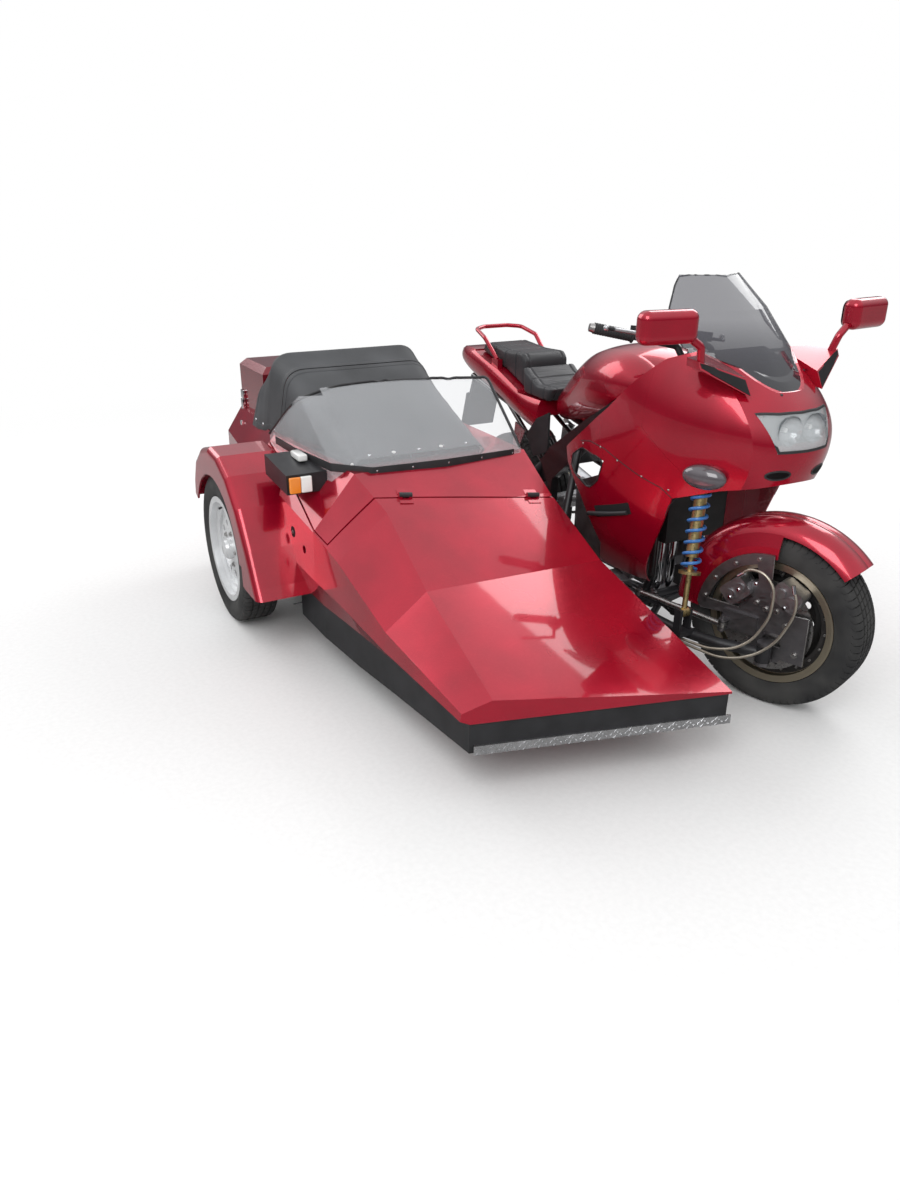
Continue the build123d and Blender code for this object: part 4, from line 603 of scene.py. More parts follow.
def trace(node, corners, step=12.0, lift=0.0):
    """Points and normals along a line of corners in millimetres, laid on a node's surface."""
    points, normals = [], []
    for start, end in zip(corners, corners[1:]):
        start, end = Vector(start), Vector(end)
        count = max(1, round((end - start).length / step))
        for index in range(count + (end == Vector(corners[-1]))):
            place, normal = seat_on(node, start.lerp(end, index / count), lift)
            points.append(place)
            normals.append(normal)
    return points, normals


def add_band(bm, points, normals, width, thickness):
    """Adds a flat band of rectangular section along points on a surface."""
    rings = []
    for index, (point, normal) in enumerate(zip(points, normals)):
        before, after = points[max(0, index - 1)], points[min(len(points) - 1, index + 1)]
        side = (after - before).cross(normal).normalized() * width / 2
        lift = normal.normalized() * thickness
        rings.append([bm.verts.new(point + offset) for offset in (-side - lift * 0.4, -side + lift * 0.6,
                                                                  -side * 0.8 + lift, side * 0.8 + lift,
                                                                  side + lift * 0.6, side - lift * 0.4)])
    skin_rings(bm, rings)
    bm.faces.new(rings[0])
    bm.faces.new(rings[-1][::-1])


def band(name, node, corners, width, thickness, finish, body, step=12.0):
    """Flat strip laid on a node along corners in millimetres."""
    bm = bmesh.new()
    points, normals = trace(node, corners, step)
    add_band(bm, points, normals, width * MM, thickness * MM)
    return finish_piece(name, bm, finish, body)


def studs(name, node, places, radius, finish, body):
    """Rivets or press studs seated on a node at places in millimetres."""
    bm = bmesh.new()
    for place in places:
        seat, normal = seat_on(node, place, -0.3)
        add_rivet(bm, seat, normal, radius * MM)
    return finish_piece(name, bm, finish, body)


def add_stitches(bm, points, normals, pitch, size):
    """Adds a row of short threads along a line."""
    run = 0.0
    for index in range(len(points) - 1):
        start, end = points[index], points[index + 1]
        length = (end - start).length
        while run < length:
            along = (end - start).normalized()
            place = start.lerp(end, run / length)
            across = along.cross(normals[index]).normalized()
            turn = Matrix((along, across, normals[index].normalized())).transposed().to_4x4()
            add_box(bm, Matrix.Translation(place) @ turn, (pitch * 0.62, size, size * 0.7))
            run += pitch
        run -= length


# Wheels

def wheel_place(node, axis):
    """Rest place of a wheel: forward along X, the axle along Y to the left, up along Z."""
    axis = Vector(axis).normalized()
    forward = axis.cross((0, 0, 1))
    turn = Matrix((forward, axis, Vector((0, 0, 1)))).transposed().to_4x4()
    return Matrix.Translation(centre_of(node)) @ turn


# Each wheel's body, its tyre's width in millimetres and its axle at rest
WHEELS = {
    "front": {"body": "front_wheel", "width": 145.0,
              "axis": (-math.sin(STEER_REST), math.cos(STEER_REST), 0)},
    "rear": {"body": "rear_wheel", "width": 165.0, "axis": (0, 1, 0)},
    "sidecar": {"body": "sidecar_wheel", "width": 145.0, "axis": (0, 1, 0)},
}
# Radii in millimetres where the tyre leaves the rim, where it passes the rim's edge, and of its tread
RIM_SEAT = 190.4
RIM_FLANGE = 207.5
OUTER = 290.0
# Half widths of a groove at the tread and at its floor
GROOVE_TOP = 4.4
GROOVE_FLOOR = 3.2
# Shares of a tread pitch, and whether the tread is cut there: the block, and the sipe behind it
PITCH_SHARES = ((0.0, False), (0.84, False), (0.87, True), (0.97, True))
# How far the sipes sweep round the tyre from its middle, in radians
SIPE_SWEEP = 0.045
# Bolted flange inside the front and rear rims, in millimetres, and where its inner face sits on the axle
FLANGE_RING = (158.0, 183.0)
FLANGE_THICK = 4
FLANGE_FACES = {"front": -30.0, "rear": -38.0}
FLANGE_SIDES = 96
# Rings of bolts: how many, radius of the ring, and size in millimetres
FLANGE_BOLTS = (20, 171, 3.8)
LUG_BOLTS = (5, 66, 8.0)
LUG_FACE = -34.0
# Steps of the sidecar's hub cap in metres: place on the axle, radius, height and radius of the top
HUB_CAP = ((-0.052, 0.036, 0.010, 0.033), (-0.062, 0.026, 0.004, 0.020))
# Foot of a valve ahead, left and up of the axle, its lean, and its cap's foot along that lean, in metres
VALVE_FOOT = Vector((0.02, -0.038, 0.183))
VALVE_LEAN = Vector((0, -1, -0.35))
VALVE_CAP = Vector((0, -0.024, -0.0084))


def on_wheel(place, radius, offset, turn):
    """Point at a radius and an offset along the axle, in millimetres, turned about it in radians."""
    return place @ (Vector((math.cos(turn) * radius, offset, math.sin(turn) * radius)) * MM)


def bow(start, middle, end, count):
    """Points of a shallow arc through three points, without its end."""
    points = []
    for index in range(count):
        t = index / count
        control = [2 * m - (s + e) / 2 for s, m, e in zip(start, middle, end)]
        points.append(tuple(s * (1 - t) ** 2 + 2 * c * t * (1 - t) + e * t * t
                            for s, c, e in zip(start, control, end)))
    return points


def tyre_half(half, depth):
    """Left half of the tyre's section from bead to middle: radius, offset and depth of a sipe."""
    bead = half - 14
    side = [(RIM_SEAT, bead), (RIM_FLANGE, bead + 0.2), (RIM_FLANGE + 2, bead + 5.5)]
    side += bow((RIM_FLANGE + 4, bead + 6), (RIM_FLANGE + 34, half - 0.2), (OUTER - 18, half - 5), 8)
    side += bow((OUTER - 18, half - 5), (OUTER - 5, half - 12), (OUTER - 1, half - 26), 5)
    side = [(r, y, 0.0 if r < OUTER - 20 else depth * 0.8) for r, y in side]
    tread = [(OUTER - 1, half - 26, depth)]
    for middle in (half * 0.5, half * 0.17):
        crown = OUTER - abs(middle) / half
        tread += [(crown, middle + GROOVE_TOP, depth), (crown - depth, middle + GROOVE_FLOOR, 0.0),
                  (crown - depth, middle - GROOVE_FLOOR, 0.0), (crown, middle - GROOVE_TOP, depth)]
    return side + tread


def make_tyre(name, wheel, outfit):
    """Road tyre with four grooves round it and sipes across, standing for the plain one."""
    width = wheel["width"]
    half = tyre_half(width / 2, outfit.groove_depth / MM)
    section = [(r, -y, cut) for r, y, cut in half] + [(r, y, cut) for r, y, cut in reversed(half)]
    place = wheel_place(name + "_tyre", wheel["axis"])
    bm = bmesh.new()
    rings = []
    for pitch in range(outfit.tread_pitches):
        for share, low in PITCH_SHARES:
            ring = []
            for radius, offset, cut in section:
                turn = 2 * math.pi * (pitch + share) / outfit.tread_pitches
                turn += math.sin(offset / width * 3.0) * SIPE_SWEEP if cut else 0.0
                ring.append(bm.verts.new(on_wheel(place, radius - (cut if low else 0.0), offset, turn)))
            rings.append(ring)
    skin_rings(bm, rings, closed=True)
    tyre = finish_piece(name + "_tyre_tread", bm, "tyre", wheel["body"], 35.0)
    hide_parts(name + "_tyre")


class OUTFIT_OT_tyres(bpy.types.Operator):
    """Make the three tyres with their tread"""
    bl_idname = "outfit.tyres"
    bl_label = "Tyres"

    def execute(self, context):
        for name, wheel in WHEELS.items():
            make_tyre(name, wheel, context.scene.outfit)
        return {"FINISHED"}


def ring_of_bolts(bm, place, ring, offset):
    """Adds bolts in a ring about the axle, heads to the right."""
    count, radius, size = ring
    for index in range(count):
        base = on_wheel(place, radius, offset, 2 * math.pi * index / count)
        add_bolt(bm, base, place.to_3x3() @ Vector((0, -1, 0)), size * MM)


class OUTFIT_OT_wheel_fittings(bpy.types.Operator):
    """Make the flanges, bolts, caps and valves of the wheels"""
    bl_idname = "outfit.wheel_fittings"
    bl_label = "Wheel fittings"

    def execute(self, context):
        places = {name: wheel_place(name + "_tyre", wheel["axis"]) for name, wheel in WHEELS.items()}
        for name, face in FLANGE_FACES.items():
            bm = bmesh.new()
            self.add_flange(bm, places[name], face)
            finish_piece(name + "_rim_flange", bm, "rim_black", name + "_wheel", 30.0)
            bm = bmesh.new()
            ring_of_bolts(bm, places[name], FLANGE_BOLTS, face - FLANGE_THICK)
            finish_piece(name + "_rim_bolts", bm, "steel", name + "_wheel")
        self.make_hub(places["sidecar"])
        for name in ("front", "sidecar"):
            self.make_valve(name, places[name])
        return {"FINISHED"}

    def add_flange(self, bm, place, face):
        """Adds a flat ring about the axle."""
        inner, outer = FLANGE_RING
        back = face - FLANGE_THICK
        rings = []
        for index in range(FLANGE_SIDES):
            turn = 2 * math.pi * index / FLANGE_SIDES
            rings.append([bm.verts.new(on_wheel(place, radius, offset, turn))
                          for radius, offset in ((inner, face), (outer, face), (outer, back), (inner, back))])
        skin_rings(bm, rings, closed=True)

    def make_hub(self, place):
        """Lug bolts and cap of the sidecar's wheel."""
        bm = bmesh.new()
        ring_of_bolts(bm, place, LUG_BOLTS, LUG_FACE)
        finish_piece("sidecar_lug_bolts", bm, "steel", "sidecar_wheel")
        bm = bmesh.new()
        for offset, radius, length, top in HUB_CAP:
            add_cylinder(bm, place @ Vector((0, offset, 0)), (0, -1, 0), radius, length, 40, top)
        finish_piece("sidecar_hub_cap", bm, "rim_white", "sidecar_wheel")

    def make_valve(self, name, place):
        """Rubber valve with its cap."""
        bm = bmesh.new()
        base = place @ VALVE_FOOT
        lean = place.to_3x3() @ VALVE_LEAN
        add_cylinder(bm, base, lean, 0.0035, 0.026, 14)
        add_cylinder(bm, base + place.to_3x3() @ VALVE_CAP, lean, 0.0045, 0.011, 14)
        finish_piece(name + "_valve", bm, "plastic", name + "_wheel")


# Soft pieces

def welded(node):
    """Copy of a CAD node's mesh with its corners joined."""
    bm = bmesh.new()
    bm.from_mesh(frame["nodes"][node].data)
    bmesh.ops.remove_doubles(bm, verts=bm.verts, dist=0.00002)
    return bm


def even_skin(name, bm, voxel, draw_in, rounds):
    """Object with one even skin round the rough solid, rounded off and drawn in a little."""
    mesh = bpy.data.meshes.new(name)
    bm.to_mesh(mesh)
    bm.free()
    obj = link_object(name, mesh)
    modifier = obj.modifiers.new("skin", "REMESH")
    modifier.mode = "VOXEL"
    modifier.voxel_size = voxel * MM
    even = bpy.data.meshes.new_from_object(obj.evaluated_get(bpy.context.evaluated_depsgraph_get()))
    obj.modifiers.clear()
    obj.data = even
    bpy.data.meshes.remove(mesh)
    bm = bmesh.new()
    bm.from_mesh(even)
    for _ in range(rounds):
        bmesh.ops.smooth_vert(bm, verts=bm.verts, factor=0.5, use_axis_x=True, use_axis_y=True,
                              use_axis_z=True)
    bm.normal_update()
    for vertex in bm.verts:
        vertex.co -= vertex.normal * draw_in * MM
    bm.to_mesh(even)
    bm.free()
    return obj


# Frames of the cloth simulation that swells a seat
CLOTH_FRAMES = 20


def swell(obj, pinned, pressure, cap):
    """Swells the cover between its pinned places by a cloth simulation, by no more than the cap."""
    scene = bpy.context.scene
    rest = [vertex.co.copy() for vertex in obj.data.vertices]
    group = obj.vertex_groups.new(name="pinned")
    group.add([index for index, point in enumerate(rest) if pinned((point - FRONT) / MM)], 1.0, "REPLACE")
    cloth = obj.modifiers.new("cloth", "CLOTH")
    cloth.settings.quality = 4
    cloth.settings.use_pressure = True
    cloth.settings.uniform_pressure_force = pressure
    cloth.settings.effector_weights.gravity = 0.0
    cloth.settings.vertex_group_mass = "pinned"
    cloth.point_cache.frame_start = 1
    cloth.point_cache.frame_end = CLOTH_FRAMES
    for step in range(1, CLOTH_FRAMES + 1):
        scene.frame_set(step)
    swollen = obj.evaluated_get(bpy.context.evaluated_depsgraph_get()).data
    for index, vertex in enumerate(swollen.vertices):
        move = vertex.co - rest[index]
        if move.length > cap * MM:
            move = move.normalized() * cap * MM
        rest[index] = rest[index] + move
    obj.modifiers.clear()
    obj.vertex_groups.clear()
    for vertex, place in zip(obj.data.vertices, rest):
        vertex.co = place
    scene.frame_set(1)


def press_seams(obj, seams, width, depth):
    """Subdivides the cover and presses its seams in. A seam gives a point's distance in millimetres."""
    bm = bmesh.new()
    bm.from_mesh(obj.data)
    bmesh.ops.subdivide_edges(bm, edges=bm.edges, cuts=1, use_grid_fill=True, smooth=0.6)
    bm.normal_update()
    for vertex in bm.verts:
        place = (vertex.co - FRONT) / MM
        away = min(abs(seam(place)) for seam in seams)
        if away < width:
            vertex.co -= vertex.normal * depth * MM * (1 - (away / width) ** 2)
    bmesh.ops.recalc_face_normals(bm, faces=bm.faces)
    for face in bm.faces:
        face.smooth = True
    bm.to_mesh(obj.data)
    bm.free()


def upholster(obj, node):
    """Gives a cushion its cover and hides the CAD node it stands for."""
    obj.data.materials.clear()
    obj.data.materials.append(FINISH["seat"])
    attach(obj, "outfit")
    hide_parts(node)


def part_of(node, keep):
    """The solids of a node whose middle passes a test in millimetres."""
    bm = welded(node)
    left = set(bm.verts)
    gone = []
    while left:
        stack, island = [left.pop()], []
        while stack:
            vertex = stack.pop()
            island.append(vertex)
            for edge in vertex.link_edges:
                other = edge.other_vert(vertex)
                if other in left:
                    left.remove(other)
                    stack.append(other)
        middle = sum((vertex.co for vertex in island), Vector()) / len(island)
        if not keep((middle - FRONT) / MM):
            gone += island
    bmesh.ops.delete(bm, geom=gone, context="VERTS")
    return bm


# Seams of the motorcycle's seats, in millimetres: places along X of the cross seams, how far the side seams
# are from the middle, and the height below which the cover is held
RIDER = {"cross": (-1226, -1318), "side": 98, "low": 815}
PILLION = {"cross": (-1474, -1560, -1646), "side": 84, "low": 905}
# Where the rider's seat ends and the pillion's begins
SEAT_SPLIT = -1400
# Channels of the sidecar's bench, along Y, and the height between its cushion and its back
BENCH_SEAMS = (-1060, -950, -840, -730, -620)
BENCH_SPLIT = 400


class OUTFIT_OT_saddles(bpy.types.Operator):
    """Make the rider's and the pillion's padded seats"""
    bl_idname = "outfit.saddles"
    bl_label = "Saddles"

    def execute(self, context):
        self.make("rider_seat", RIDER, lambda place: place.x > SEAT_SPLIT)
        self.make("pillion_seat", PILLION, lambda place: place.x < SEAT_SPLIT)
        return {"FINISHED"}

    def make(self, name, sizes, keep):
        """One seat, held at its foot and at its seams."""
        seams = [lambda place, x=x: place.x - x for x in sizes["cross"]]
        seams.append(lambda place: abs(place.y) - sizes["side"])
        obj = even_skin(name, part_of("seat", keep), voxel=5.0, draw_in=2.0, rounds=16)
        swell(obj, lambda place: place.z < sizes["low"] or min(abs(seam(place)) for seam in seams) < 4,
              pressure=4.0, cap=6.0)
        press_seams(obj, seams, width=6.0, depth=3.2)
        upholster(obj, "seat")


class OUTFIT_OT_bench(bpy.types.Operator):
    """Make the sidecar's bench with its channelled cover"""
    bl_idname = "outfit.bench"
    bl_label = "Sidecar bench"

    def execute(self, context):
        seams = [lambda place, y=y: place.y - y for y in BENCH_SEAMS]
        for name, keep, low in (("bench_cushion", lambda place: place.z < BENCH_SPLIT, 300),
                                ("bench_back", lambda place: place.z > BENCH_SPLIT, 440)):
            obj = even_skin(name, part_of("sidecar_seat", keep), voxel=7.0, draw_in=4.0, rounds=14)
            swell(obj, lambda place: place.z < low or min(abs(seam(place)) for seam in seams) < 5,
                  pressure=4.0, cap=8.0)
            press_seams(obj, seams, width=8.0, depth=4.0)
            upholster(obj, "sidecar_seat")
        return {"FINISHED"}


# Hood's bows along X, in millimetres: the front part's and the rear part's
FRONT_BOWS = (-930, -1240, -1476)
REAR_BOWS = (-1485, -1600, -1771)
# Hood stations: x, ridge z, ridge half width, hem z, hem half width, as in the CAD
HOOD_STATIONS = [(-925, 728, 240, 690, 266), (-1600, 998, 305, 690, 354), (-1772, 872, 305, 690, 354)]
HOOD_MID = -838.0
HOOD_COLUMNS = 72
# Height in millimetres of the line that the cover sags towards
HOOD_CORE = 640
# How far in millimetres the cover lies inside the bows, dips between them, puckers at its hems and creases
COVER_INSET = 1.4
COVER_DIP = 5.0
COVER_PUCKER = 1.3
COVER_CREASE = 1.1
# In metres: how far the ridge corners are rounded, how far the flank's foot stays off the body, and its
# least length
RIDGE_ROUND = 0.075
FOOT_GAP = 0.0015
FOOT_LEAST = 0.008
# Sheet's thickness, and width and height of its hem bands, in metres
SHEET = 0.0015
HEM_WIDTH = 0.021
HEM_HEIGHT = 0.0012


def hood_station(x):
    """The hood's section at one place along X."""
    for first, second in zip(HOOD_STATIONS, HOOD_STATIONS[1:]):
        if second[0] <= x <= first[0]:
            share = (x - first[0]) / (second[0] - first[0])
            return [a + (b - a) * share for a, b in zip(first, second)]
    return HOOD_STATIONS[-1]


def hood_foot(x, side, below):
    """Where the hood's flank meets the body below it."""
    _, ridge, half, hem, hem_half = hood_station(x)
    top = Vector((x, HOOD_MID + side * half, ridge))
    low = Vector((x, HOOD_MID + side * hem_half, hem))
    start, reach = at(*top), (low - top).length * MM
    found = [reach]
    for node in below:
        hit = surface(node).ray_cast(start, (low - top).normalized(), reach * 1.3)
        if hit[0] is not None:
            found.append(hit[3])
    return start + (low - top).normalized() * max(min(found) - FOOT_GAP, FOOT_LEAST)


def hood_row(x, below):
    """Evenly spaced points of the cover's section, rounded at the ridge corners."""
    _, ridge, half, _, _ = hood_station(x)
    corners = [hood_foot(x, 1, below), at(x, HOOD_MID + half, ridge), at(x, HOOD_MID - half, ridge),
               hood_foot(x, -1, below)]
    line = [corners[0]]
    for before, corner, after in zip(corners, corners[1:], corners[2:]):
        room = min(RIDGE_ROUND, (before - corner).length * 0.48, (after - corner).length * 0.48)
        start = corner + (before - corner).normalized() * room
        end = corner + (after - corner).normalized() * room
        for index in range(9):
            t = index / 8
            line.append(start * (1 - t) ** 2 + corner * 2 * t * (1 - t) + end * t * t)
    line.append(corners[3])
    lengths = [0.0]
    for first, second in zip(line, line[1:]):
        lengths.append(lengths[-1] + (second - first).length)
    points = []
    cursor = 0
    for index in range(HOOD_COLUMNS + 1):
        goal = lengths[-1] * index / HOOD_COLUMNS
        while cursor < len(line) - 2 and lengths[cursor + 1] < goal:
            cursor += 1
        share = (goal - lengths[cursor]) / max(1e-9, lengths[cursor + 1] - lengths[cursor])
        points.append(line[cursor].lerp(line[cursor + 1], min(1.0, share)))
    return points


def hood_sag(x, column, bows):
    """How far the cover dips between its bows and puckers towards its hems, in millimetres."""
    span = next(((front, rear) for front, rear in zip(bows, bows[1:]) if rear <= x <= front), bows[-2:])
    share = (x - span[0]) / (span[1] - span[0])
    across = column / HOOD_COLUMNS
    hem = (1 - math.sin(math.pi * across)) ** 2
    dip = COVER_DIP * math.sin(math.pi * min(1, max(0, share))) * math.sin(math.pi * across)
    pucker = COVER_PUCKER * math.sin(x * 0.075 + 2.2 * math.sin(across * 9)) * hem
    crease = COVER_CREASE * math.sin(across * 23 + x * 0.021) * math.sin(math.pi * share) ** 2
    return COVER_INSET + dip + pucker + crease


def hood_cover(name, node, body, bows, below):
    """Sheet of the hood from its first bow to its last, with its hem bands and stitches."""
    front, rear = bows[0], bows[-1]
    rows = max(8, round((front - rear) / 9))
    bm = bmesh.new()
    grid = []
    for index in range(rows + 1):
        x = front + (rear - front) * index / rows
        points = hood_row(x, below)
        middle = at(x, HOOD_MID, HOOD_CORE)
        line = []
        for column, point in enumerate(points):
            inward = (middle - point).normalized()
            line.append(bm.verts.new(point + inward * hood_sag(x, column, bows) * MM))
        grid.append(line)
    for first, second in zip(grid, grid[1:]):
        for column in range(HOOD_COLUMNS):
            bm.faces.new((first[column], first[column + 1], second[column + 1], second[column]))
    bmesh.ops.recalc_face_normals(bm, faces=bm.faces)
    if sum(face.normal.z for face in bm.faces) < 0:
        bmesh.ops.reverse_faces(bm, faces=bm.faces)
    bm.normal_update()
    area = sum(face.calc_area() for face in bm.faces)
    hems = bmesh.new()
    threads = bmesh.new()
    borders = [grid[0], grid[-1], [line[0] for line in grid], [line[-1] for line in grid]]
    inner = [grid[1], grid[-2], [line[1] for line in grid], [line[-2] for line in grid]]
    for border, beside in zip(borders, inner):
        points = [a.co.lerp(b.co, 0.85) for a, b in zip(border, beside)]
        normals = [a.normal.copy() for a in border]
        add_band(hems, points, normals, HEM_WIDTH, HEM_HEIGHT)
        for share in (0.15, 1.35):
            raised = [a.co.lerp(b.co, share) + n * 0.0013 for a, b, n in zip(border, beside, normals)]
            add_stitches(threads, raised, normals, 0.0065, 0.0009)
    width = sum((a.co - b.co).length for a, b in zip(grid[0], grid[0][1:]))
    width = max(width, sum((a.co - b.co).length for a, b in zip(grid[-1], grid[-1][1:])))
    mesh = bpy.data.meshes.new(name)
    for face in bm.faces:
        face.smooth = True
    bm.to_mesh(mesh)
    bm.free()
    cover = link_object(name, mesh)
    mesh.materials.append(FINISH["hood"])
    wall = cover.modifiers.new("wall", "SOLIDIFY")
    wall.thickness = SHEET
    wall.offset = -1.0
    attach(cover, body)
    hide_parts(node)
    hem = finish_piece(name + "_hem", hems, "hood", body)
    stitches = finish_piece(name + "_stitches", threads, "thread", body)


class OUTFIT_OT_hood(bpy.types.Operator):
    """Make the vinyl hood in its two parts"""
    bl_idname = "outfit.hood"
    bl_label = "Hood"

    def execute(self, context):
        hood_cover("hood_front_cover", "hood_front", "sidecar_cowl", FRONT_BOWS, ["sidecar_cowl"])
        hood_cover("hood_rear_cover", "hood_rear", "outfit", REAR_BOWS, ["sidecar_tub"])
        return {"FINISHED"}


# Front end fittings

# Hose routes: forward, left and up of the front wheel's foot in millimetres, each starting at a caliper
HOSE_FRONT = [(-33, -168, 455), (7, -160, 487), (68, -142, 466), (86, -138, 389), (71, -150, 311),
              (30, -184, 240), (-40, -228, 208), (-120, -254, 202), (-190, -274, 206)]
HOSE_REAR = [(136, -116, 468), (155, -114, 412), (136, -124, 323), (103, -142, 258), (56, -176, 212),
             (-10, -216, 187), (-90, -244, 186), (-190, -272, 194)]
HOSE_RADIUS = 0.0046
HOSE_CLIP = (-178, -266, 200)
CLIP_SIZE = (0.016, 0.030, 0.026)
# Bolts of the plate's arc, of its middle and of the calipers: forward and up of the axle in the wheel's frame
ARC_BOLTS = [(-218 * math.cos(math.radians(turn)), 222 * math.sin(math.radians(turn)))
             for turn in (12, 32, 56, 78)]
MIDDLE_BOLTS = [(-34, 73), (-2, 60), (34, 62), (66, 83), (70, 22), (112, -66)]
CALIPER_BOLTS = [(-86, 112), (-46, 134), (-112, 78), (66, 92), (96, 76)]
# Bare cut edges of the plate, placed as its bolts are, and where its outer face sits along the axle
PLATE_EDGES = [[(1, 238), (5, 164)], [(62, 91), (87, 63), (139, 67), (142, -95)], [(-202, 39), (-90, 39)]]
PLATE_FACE = -104.0
EDGE_RADIUS = 0.0016


class OUTFIT_OT_front_end(bpy.types.Operator):
    """Make the bolts, hoses and edges of the front upright"""
    bl_idname = "outfit.front_end"
    bl_label = "Front end fittings"

    def execute(self, context):
        place = wheel_place("front_tyre", WHEELS["front"]["axis"])
        outward = place.to_3x3() @ Vector((0, -1, 0))
        bm = bmesh.new()
        for forward, up in ARC_BOLTS:
            self.bolt(bm, place, outward, forward, up, 6.0)
        for forward, up in MIDDLE_BOLTS:
            self.bolt(bm, place, outward, forward, up, 8.0)
        finish_piece("upright_bolts", bm, "steel", "front_steering")
        bm = bmesh.new()
        for forward, up in CALIPER_BOLTS:
            self.bolt(bm, place, outward, forward, up, 5.0)
        finish_piece("caliper_bolts", bm, "chrome", "front_steering")
        for number, edge in enumerate(PLATE_EDGES):
            points = [place @ (Vector((forward, PLATE_FACE + 0.4, up)) * MM) for forward, up in edge]
            ribbon(f"plate_edge_{number}", points, EDGE_RADIUS, "steel", "front_steering",
                   corner="VECTOR")
        for name, route in (("brake_hose_front", HOSE_FRONT), ("brake_hose_rear", HOSE_REAR)):
            hose = ribbon(name, [at(*point) for point in route], HOSE_RADIUS, "braid", None)
            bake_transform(hose)
        bm = bmesh.new()
        for route in (HOSE_FRONT, HOSE_REAR):
            start, after = at(*route[0]), at(*route[1])
            add_cylinder(bm, start - (after - start).normalized() * 0.004, after - start, 0.0066, 0.026, 16)
        finish_piece("hose_ends", bm, "chrome", "front_steering")
        bm = bmesh.new()
        add_box(bm, Matrix.Translation(at(*HOSE_CLIP)), CLIP_SIZE)
        finish_piece("hose_clip", bm, "plastic", "outfit")
        return {"FINISHED"}

    def bolt(self, bm, place, outward, forward, up, size):
        """Adds a bolt on the first face that it meets from outside."""
        start = place @ (Vector((forward, PLATE_FACE - 60, up)) * MM)
        for node in ("front_upright", "brake_calipers"):
            hit = surface(node).ray_cast(start, -outward, 0.12)
            if hit[0] is not None:
                add_bolt(bm, hit[0] - outward * 0.0004, outward, size * MM)
                return


# Bodywork of the motorcycle

# Outlines on the flanks: forward and up of the front wheel's foot in millimetres
SIDE_RIVETS = [(-687, 754), (-580, 764), (-492, 735), (-381, 700), (-266, 664)]
FAIRING_SEAM = [(-705, 760), (-640, 772), (-560, 764), (-492, 741), (-400, 706), (-300, 672), (-215, 610),
                (-190, 540)]
VENT_RING = [(-575, 712), (-592, 655), (-640, 622), (-735, 652), (-745, 690), (-690, 722), (-575, 712)]
# Lower vent slot: a near-black band laid on the flank stands for the shade inside it, as painted shade
LOWER_VENT_SHADE = [(-606, 519), (-560, 534), (-500, 552), (-430, 574)]
VENT_PIPE = [(-648, 500), (-560, 524), (-500, 540), (-440, 556)]
# Bolts below the screen: forward, left and up of the front wheel's foot in millimetres
NOSE_BOLTS = [(-176, -143, 1048), (-84, -44, 1001), (-90, 70, 1000), (-176, 143, 1048)]
# Middles of the intakes, placed in the same way, their half width and half height in metres, and how many
# points go round one
INTAKES = [(-18, -84, 774), (-18, 84, 774)]
INTAKE_REACH = (0.040, 0.015)
INTAKE_SIDES = 32
# Ways that the left intake faces and that its surface is looked for from outside
INTAKE_FACING = (0.88, 0.37, -0.30)
INTAKE_PROBE = (0.9, 0.38, -0.25)
# Width and height of the intakes' rims, and the gauze's lift and thickness, in metres
INTAKE_RIM = (0.006, 0.0018)
GAUZE_LIFT = 0.0012
GAUZE_THICK = 0.0006
LAMP_CORNERS = [(-80, -147, 954), (-48, -80, 954), (-36, 0, 954), (-48, 80, 954), (-80, 147, 954),
                (-6, 102, 846), (14, 0, 846), (-6, -102, 846), (-80, -147, 954)]
# Headlamp's bowls in metres: radius and depth of the rings, distance from the middle, and lift
BOWL = ((0.049, 0.0), (0.043, 0.016), (0.032, 0.030), (0.016, 0.038), (0.004, 0.040))
BOWL_SIDES = 40
BOWL_SPREAD = 0.052
BOWL_LIFT = 0.004
# How far behind the lens's front the bowls, the bulbs' feet and the housing's wall sit, in metres
BOWL_BACK = 0.030
BULB_BACK = 0.066
WALL_BACK = 0.079
WALL_SIZE = (0.002, 0.25, 0.105)
# Right half of the screen's outline, from its foot to the middle of its top
SCREEN_EDGE = [(-352, -234, 1122), (-418, -216, 1170), (-461, -187, 1235), (-485, -151, 1289),
               (-492, -128, 1317), (-468, -96, 1317), (-436, -48, 1317)]
SCREEN_TOP = (-416, 0, 1317)
# Filler cap on the tank: steps in metres of height, radius, thickness and radius of the top
CAP = (-690, 0, 1054)
CAP_STEPS = ((0.0, 0.037, 0.003, 0.035), (0.003, 0.026, 0.004, 0.024))
CAP_BOLTS = 6


# Distance from the middle at which the outlines of the flanks stand
FLANK = 330


def flank(outline, side):
    """Places of a side outline beside one flank of the fairing, to be laid on it."""
    return [(x, side * FLANK, z) for x, z in outline]


